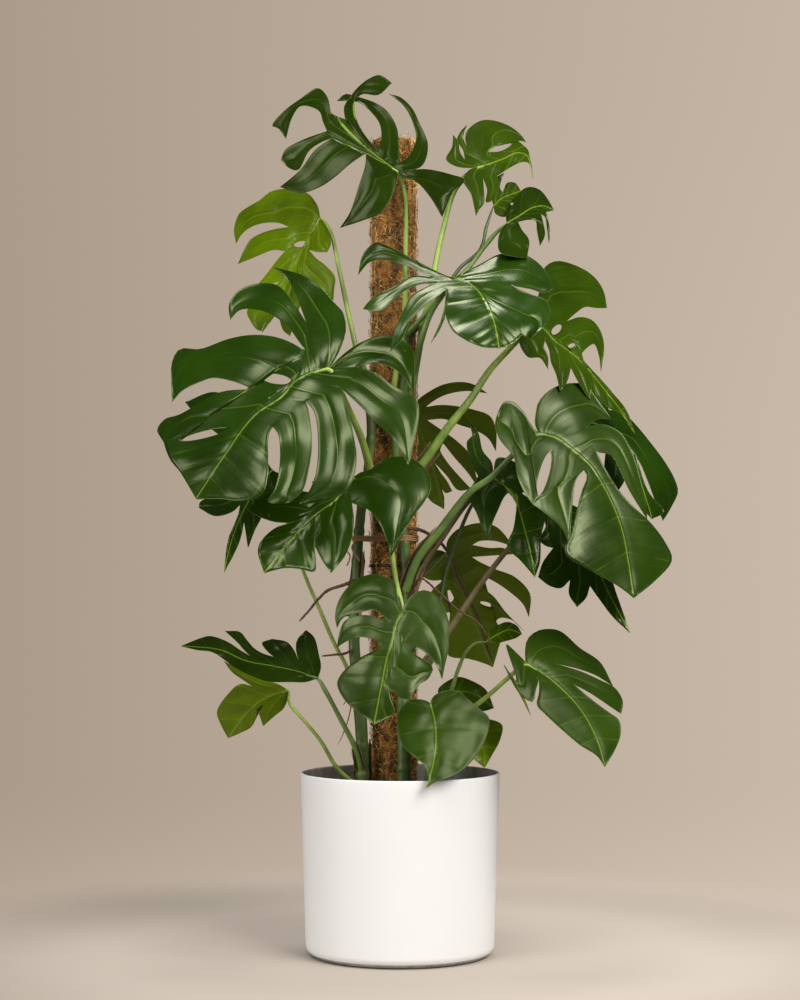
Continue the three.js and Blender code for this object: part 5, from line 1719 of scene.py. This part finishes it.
class PLANT_OT_pole(bpy.types.Operator):
    """Coir pole with loose fibres, over its plain core"""

    bl_idname = "plant.pole"
    bl_label = "Coir pole"

    def execute(self, context):
        settings = context.scene.plant_pole
        tree = coir_tree()
        body = coir_material("coir_mat", settings, False)
        loose = coir_material("coir_loose", settings, True)
        inputs = {
            "Relief": settings.relief, "Fibres": float(settings.fibres),
            "Fibre length": settings.fibre_length, "Loose fibres only": False,
            "Seed": COIR_SEED, "Material": body,
        }
        piece = grow(coir_mesh(settings), "coir", tree, inputs)
        place_piece(piece, body, ["coir_wrap"])
        shell = pole_shell(settings.radius / MM)
        mesh = turned_mesh("fibre_base", shell, SHELL_SIDES, (POLE_X, POLE_Y))
        inputs = {**inputs, "Loose fibres only": True, "Material": loose}
        place_piece(grow(mesh, "coir_fibres", tree, inputs), loose)
        core, graph = new_material("pole_core_tube")
        grain = graph.noise(graph.place(0.1), 160.0)
        skin = graph.mix(grain, (0.30, 0.22, 0.14), (0.44, 0.35, 0.24))
        finish_with(graph, Base_Color=skin, Roughness=0.7)
        dress_node("pole_core", core)
        return {"FINISHED"}


def pole_shell(radius):
    """The part of the pole above the soil, where fibres show."""
    side = [[radius, h] for h in np.linspace(SHELL_FOOT + 2, POLE_TOP - 4, 60)]
    return [[0, SHELL_FOOT], *side, [radius * 0.8, POLE_TOP], [0, POLE_TOP]]


def dress_node(name, material):
    """Gives a CAD node that stays a better material."""
    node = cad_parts[name]
    node.data.materials.clear()
    node.data.materials.append(material)


# Planter and soil


def planter_profile(settings):
    """The outline from the middle of the base, up outside, over the rim and down inside."""
    height, rim, foot = settings.height / MM, settings.rim_radius / MM, settings.foot_radius / MM
    wall, rounding = settings.wall / MM, settings.foot_round / MM
    slope = (rim - foot) / height
    corner = foot + slope * rounding - rounding
    profile = [[0.0, 0.0], [corner * 0.5, 0.0], [corner, 0.0]]
    for turn in np.linspace(0, math.pi / 2, 14)[1:]:
        profile.append([corner + rounding * math.sin(turn), rounding * (1 - math.cos(turn))])
    lip = wall / 2
    for level in np.linspace(rounding + 10, height - lip, 16):
        profile.append([foot + slope * level, level])
    for turn in np.linspace(0, math.pi, 10)[1:]:
        profile.append([rim - lip + lip * math.cos(turn), height - lip + lip * math.sin(turn)])
    for level in np.linspace(height - 10, 16, 10):
        profile.append([foot + slope * level - wall, level])
    profile += [[foot - wall - 6, 14.0], [0.0, 14.0]]
    return profile


def planter_material(settings):
    """White satin glaze with faint unevenness, with painted shade and streaks of painted reflection inside.
    """
    material, graph = new_material("planter_glaze")
    x, y, z = graph.axes(graph.value("ShaderNodeTexCoord", output="Object"))
    reach = (x * x + y * y) ** 0.5
    foot, thick = settings.foot_radius, settings.wall
    wall = reach - z * ((settings.rim_radius - foot) / settings.height)
    inside = wall.fade(foot - thick * 0.75, foot - thick * 0.45)
    cloud = graph.noise(graph.place(), 7.0, 3.0)
    speck = graph.noise(graph.place(), 260.0, 3.0, 0.6)
    streak = graph.noise(graph.place(0.06), 90.0, 4.0)
    glaze, grey = settings.glaze, settings.inside
    outer = graph.mix((cloud - 0.3) * 1.6, shade(glaze, 0.965), glaze)
    outer = graph.mix((speck - 0.62).clamped() * 0.5, outer, (0.55, 0.52, 0.47))
    # Painted shade and painted reflection: the inner wall is grey, with darker upright streaks
    inner = graph.mix((streak - 0.3) * 2.0, shade(grey, 0.5), grey)
    colour = graph.mix(inside, outer, inner)
    gloss = 0.42 + (cloud - 0.5) * 0.1
    normal = graph.bump(speck * 0.6 + cloud * 0.4, 0.0004, 0.25)
    finish_with(graph, Base_Color=colour, Roughness=gloss, Normal=normal)
    return material


class PLANT_OT_planter(bpy.types.Operator):
    """White straight-sided planter with a rounded foot and a thin rim"""

    bl_idname = "plant.planter"
    bl_label = "Planter"

    def execute(self, context):
        settings = context.scene.plant_planter
        mesh = turned_mesh("planter_shell", planter_profile(settings), PLANTER_SIDES)
        place_piece(mesh, planter_material(settings), ["planter"])
        return {"FINISHED"}


def soil_tree():
    """Roughens the soil and strews crumbs on it."""
    tree, graph, given = geometry_tree("soil_crumbs", **{
        "Relief": "Float", "Crumbs": "Float", "Crumb size": "Float", "Seed": "Int",
    })
    body = roughened(graph, given["Geometry"], 70.0, 5.0, 0.65, 0.5, given["Relief"])
    up = graph.axes(graph.value("GeometryNodeInputNormal"))[2]
    top = graph.value("FunctionNodeCompare", {"operation": "GREATER_THAN"}, {0: up, 1: 0.6})
    scatter = graph.node("GeometryNodeDistributePointsOnFaces", None, {
        "Mesh": body, "Selection": top, "Density": given["Crumbs"], "Seed": given["Seed"],
    })
    inputs = {"Radius": given["Crumb size"], "Subdivisions": 1}
    grain = graph.value("GeometryNodeMeshIcoSphere", None, inputs)
    spin = graph.random((0.0, 0.0, 0.0), (FULL_TURN, FULL_TURN, FULL_TURN), given["Seed"])
    size = graph.random((0.2, 0.2, 0.15), (1.2, 0.8, 0.6), given["Seed"])
    crumbs = graph.value("GeometryNodeInstanceOnPoints", None, {
        "Points": Value(graph, scatter.outputs["Points"]), "Instance": grain,
        "Rotation": spin, "Scale": size,
    })
    both = graph.node("GeometryNodeJoinGeometry")
    for part in (crumbs, body):
        graph.tree.links.new(part.socket, both.inputs[0])
    end_tree(graph, Value(graph, both.outputs[0]), given["Material"])
    return tree


class PLANT_OT_soil(bpy.types.Operator):
    """Moist potting soil with crumbs and bits of bark"""

    bl_idname = "plant.soil"
    bl_label = "Soil"

    def execute(self, context):
        settings = context.scene.plant_planter
        material, graph = new_material("soil_moist")
        dark, dry = settings.soil, settings.crumb
        bits = graph.cells(graph.place(), 190.0, output="Color")
        pick = graph.value("ShaderNodeSeparateColor", None, {"Color": bits})
        fuzz = graph.noise(graph.place(), 300.0, 4.0, 0.7)
        skin = graph.mix(pick.fade(0.95, 0.6) * 0.8, dark, dry)
        skin = graph.mix((fuzz - 0.5).clamped() * 1.4, skin, shade(dark, 0.5))
        finish_with(graph, Base_Color=skin, Roughness=0.92, Normal=graph.bump(fuzz, 0.002, 0.8))
        level = settings.height / MM - SOIL_DROP
        edge = (settings.rim_radius - settings.wall) / MM - 2.2
        rings = [
            [edge * share, level + 3 * (1 - share**2) - 4 * share**6]
            for share in np.linspace(1, 0, 60)[:-1]
        ]
        profile = [[0.0, level - 40], [edge - 1, level - 40], *rings, [0.0, level + 3]]
        mesh = turned_mesh("soil_base", profile, SOIL_SIDES)
        inputs = {
            "Relief": SOIL_RELIEF, "Crumbs": CRUMBS, "Crumb size": CRUMB_SIZE,
            "Seed": CRUMB_SEED, "Material": material,
        }
        piece = grow(mesh, "soil_top", soil_tree(), inputs)
        place_piece(piece, material, ["soil"])
        return {"FINISHED"}


# Stage

# Each softbox: its name, place, width and share of the key light's power
SOFTBOXES = (
    ("key", (2.2, -3.0, 3.1), 2.2, 1.0),
    ("left", (-1.55, -1.95, 3.0), 1.1, 0.20),
    ("right", (1.9, -1.2, 2.9), 0.9, 0.12),
    ("top", (0.15, 0.4, 4.2), 1.0, 0.24),
    ("side", (-3.2, -1.6, 0.9), 1.8, 0.22),
)
LIGHT_AIM = (0.0, 0.0, 0.65)
LIGHT_COLOUR = (1.0, 0.975, 0.945)
GLOW_BELOW, GLOW_ABOVE = (0.42, 0.36, 0.30), (1.0, 0.95, 0.9)
SENSOR_WIDTH = 36.0


def backdrop(graph, settings):
    """A warm grey wall with painted light and shade: lighter to the right and where it meets the floor,
    darker to the left, by direction alone.
    """
    x, _, z = graph.axes(graph.value("ShaderNodeTexCoord", output="Generated"))
    # Painted light from the right, and painted shade on the left and towards the top
    light = (x * 1.95 + 0.57).clamped() - z.fade(0.26, 0.05) * x.fade(0.18, -0.12) * 0.10
    light = light * 0.79 + z.fade(-0.19, -0.09) * 0.35
    return graph.mix(light.clamped(), settings.shade, settings.wall)


class PLANT_OT_stage(bpy.types.Operator):
    """Pale floor and plain backdrop, both with painted light and shade, soft studio light and the camera"""

    bl_idname = "plant.stage"
    bl_label = "Stage"

    def execute(self, context):
        settings = context.scene.plant_stage
        scene = context.scene
        world = bpy.data.worlds.new("studio")
        world.use_nodes = True
        world.node_tree.nodes.clear()
        graph = Graph(world.node_tree)
        rays = graph.node("ShaderNodeLightPath")
        seen, glossy = (
            Value(graph, rays.outputs[name]) for name in ("Is Camera Ray", "Is Glossy Ray")
        )
        inputs = {"Color": backdrop(graph, settings), "Strength": 1.0}
        wall = graph.value("ShaderNodeBackground", None, inputs)
        up = graph.axes(graph.value("ShaderNodeTexCoord", output="Generated"))[2]
        glow = graph.mix((up * 0.5 + 0.5).clamped(), GLOW_BELOW, GLOW_ABOVE)
        strength = (1 - glossy * (1 - settings.mirrored)) * settings.fill
        fill = graph.value("ShaderNodeBackground", None, {"Color": glow, "Strength": strength})
        both = graph.value("ShaderNodeMixShader", None, {0: seen, 1: fill, 2: wall})
        graph.node("ShaderNodeOutputWorld", None, {"Surface": both})
        scene.world = world
        self.add_floor(settings)
        for name, spot, size, share in SOFTBOXES:
            self.add_light(name, spot, size, settings.key_power * share)
        data = bpy.data.cameras.new("front_view")
        camera = add_object("front_view", data)
        camera.location = (0.0, EYE_Y * MM, EYE_Z * MM)
        camera.rotation_euler = (math.pi / 2, 0.0, 0.0)
        data.sensor_width = SENSOR_WIDTH
        data.lens = SENSOR_WIDTH * PICTURE_SCALE / PICTURE_HEIGHT
        data.shift_y = (PICTURE_HORIZON - PICTURE_MIDDLE_ROW) / PICTURE_HEIGHT
        scene.camera = camera
        scene.view_settings.view_transform = "Standard"
        scene.view_settings.look = "None"
        return {"FINISHED"}

    def add_floor(self, settings):
        """A floor with painted light, lighter to the right and towards the back, that fades to nothing
        where the backdrop takes over.
        """
        profile = [[0, -0.2], *[[r, -0.2] for r in (100, 400, 900, 1600)], [0, -0.5]]
        floor = add_object("floor", turned_mesh("floor", profile, FLOOR_SIDES))
        material, graph = new_material("floor_paint")
        x, y, _ = graph.axes(graph.place())
        paint = settings.floor
        # Painted light and shade: the floor is lighter to the right and towards the back, darker to the
        # left
        share = (x * 0.38 + y * 0.25 + 0.30).clamped()
        skin = graph.mix(share, shade(paint, 0.9), shade(paint, 1.4))
        surface = graph.value("ShaderNodeBsdfDiffuse", None, {"Color": skin})
        clear = graph.value("ShaderNodeBsdfTransparent")
        reach = (x * x + y * y) ** 0.5
        fade = reach.fade(settings.floor_reach, settings.floor_fade)
        show(graph, graph.value("ShaderNodeMixShader", None, {0: fade, 1: clear, 2: surface}))
        floor.data.materials.append(material)

    def add_light(self, name, spot, size, power):
        data = bpy.data.lights.new(name, "AREA")
        data.size = size
        data.energy = power
        data.color = LIGHT_COLOUR
        light = add_object(name, data)
        light.location = spot
        way = Vector(LIGHT_AIM) - Vector(spot)
        light.rotation_euler = way.to_track_quat("-Z", "Y").to_euler()


# Add-on


class PLANT_PT_panel(bpy.types.Panel):
    """The pieces of the plant and their settings"""

    bl_idname = "PLANT_PT_panel"
    bl_label = "Potted plant"
    bl_space_type = "VIEW_3D"
    bl_region_type = "UI"
    bl_category = "Plant"

    def draw(self, context):
        scene = context.scene
        for group, names in SETTINGS:
            box = self.layout.box()
            for name in group.__annotations__:
                box.prop(getattr(scene, names), name)
        for operator in OPERATORS:
            self.layout.operator(operator.bl_idname)


SETTINGS = (
    (PlanterSettings, "plant_planter"),
    (PoleSettings, "plant_pole"),
    (LeafSettings, "plant_leaves"),
    (StemSettings, "plant_stems"),
    (StageSettings, "plant_stage"),
)
OPERATORS = (
    PLANT_OT_planter, PLANT_OT_soil, PLANT_OT_pole, PLANT_OT_stems, PLANT_OT_stalks,
    PLANT_OT_roots, PLANT_OT_leaves, PLANT_OT_ties, PLANT_OT_husks, PLANT_OT_stage,
)


def register():
    for group, name in SETTINGS:
        bpy.utils.register_class(group)
        setattr(bpy.types.Scene, name, bpy.props.PointerProperty(type=group))
    for operator in (*OPERATORS, PLANT_PT_panel):
        bpy.utils.register_class(operator)


def unregister():
    for operator in reversed((*OPERATORS, PLANT_PT_panel)):
        bpy.utils.unregister_class(operator)
    for group, name in SETTINGS:
        delattr(bpy.types.Scene, name)
        bpy.utils.unregister_class(group)


def main():
    register()
    bpy.ops.plant.planter()
    bpy.ops.plant.soil()
    bpy.ops.plant.pole()
    bpy.ops.plant.stems()
    bpy.ops.plant.stalks()
    bpy.ops.plant.roots()
    bpy.ops.plant.leaves()
    bpy.ops.plant.ties()
    bpy.ops.plant.husks()
    bpy.ops.plant.stage()


if __name__ == "__main__":
    main()
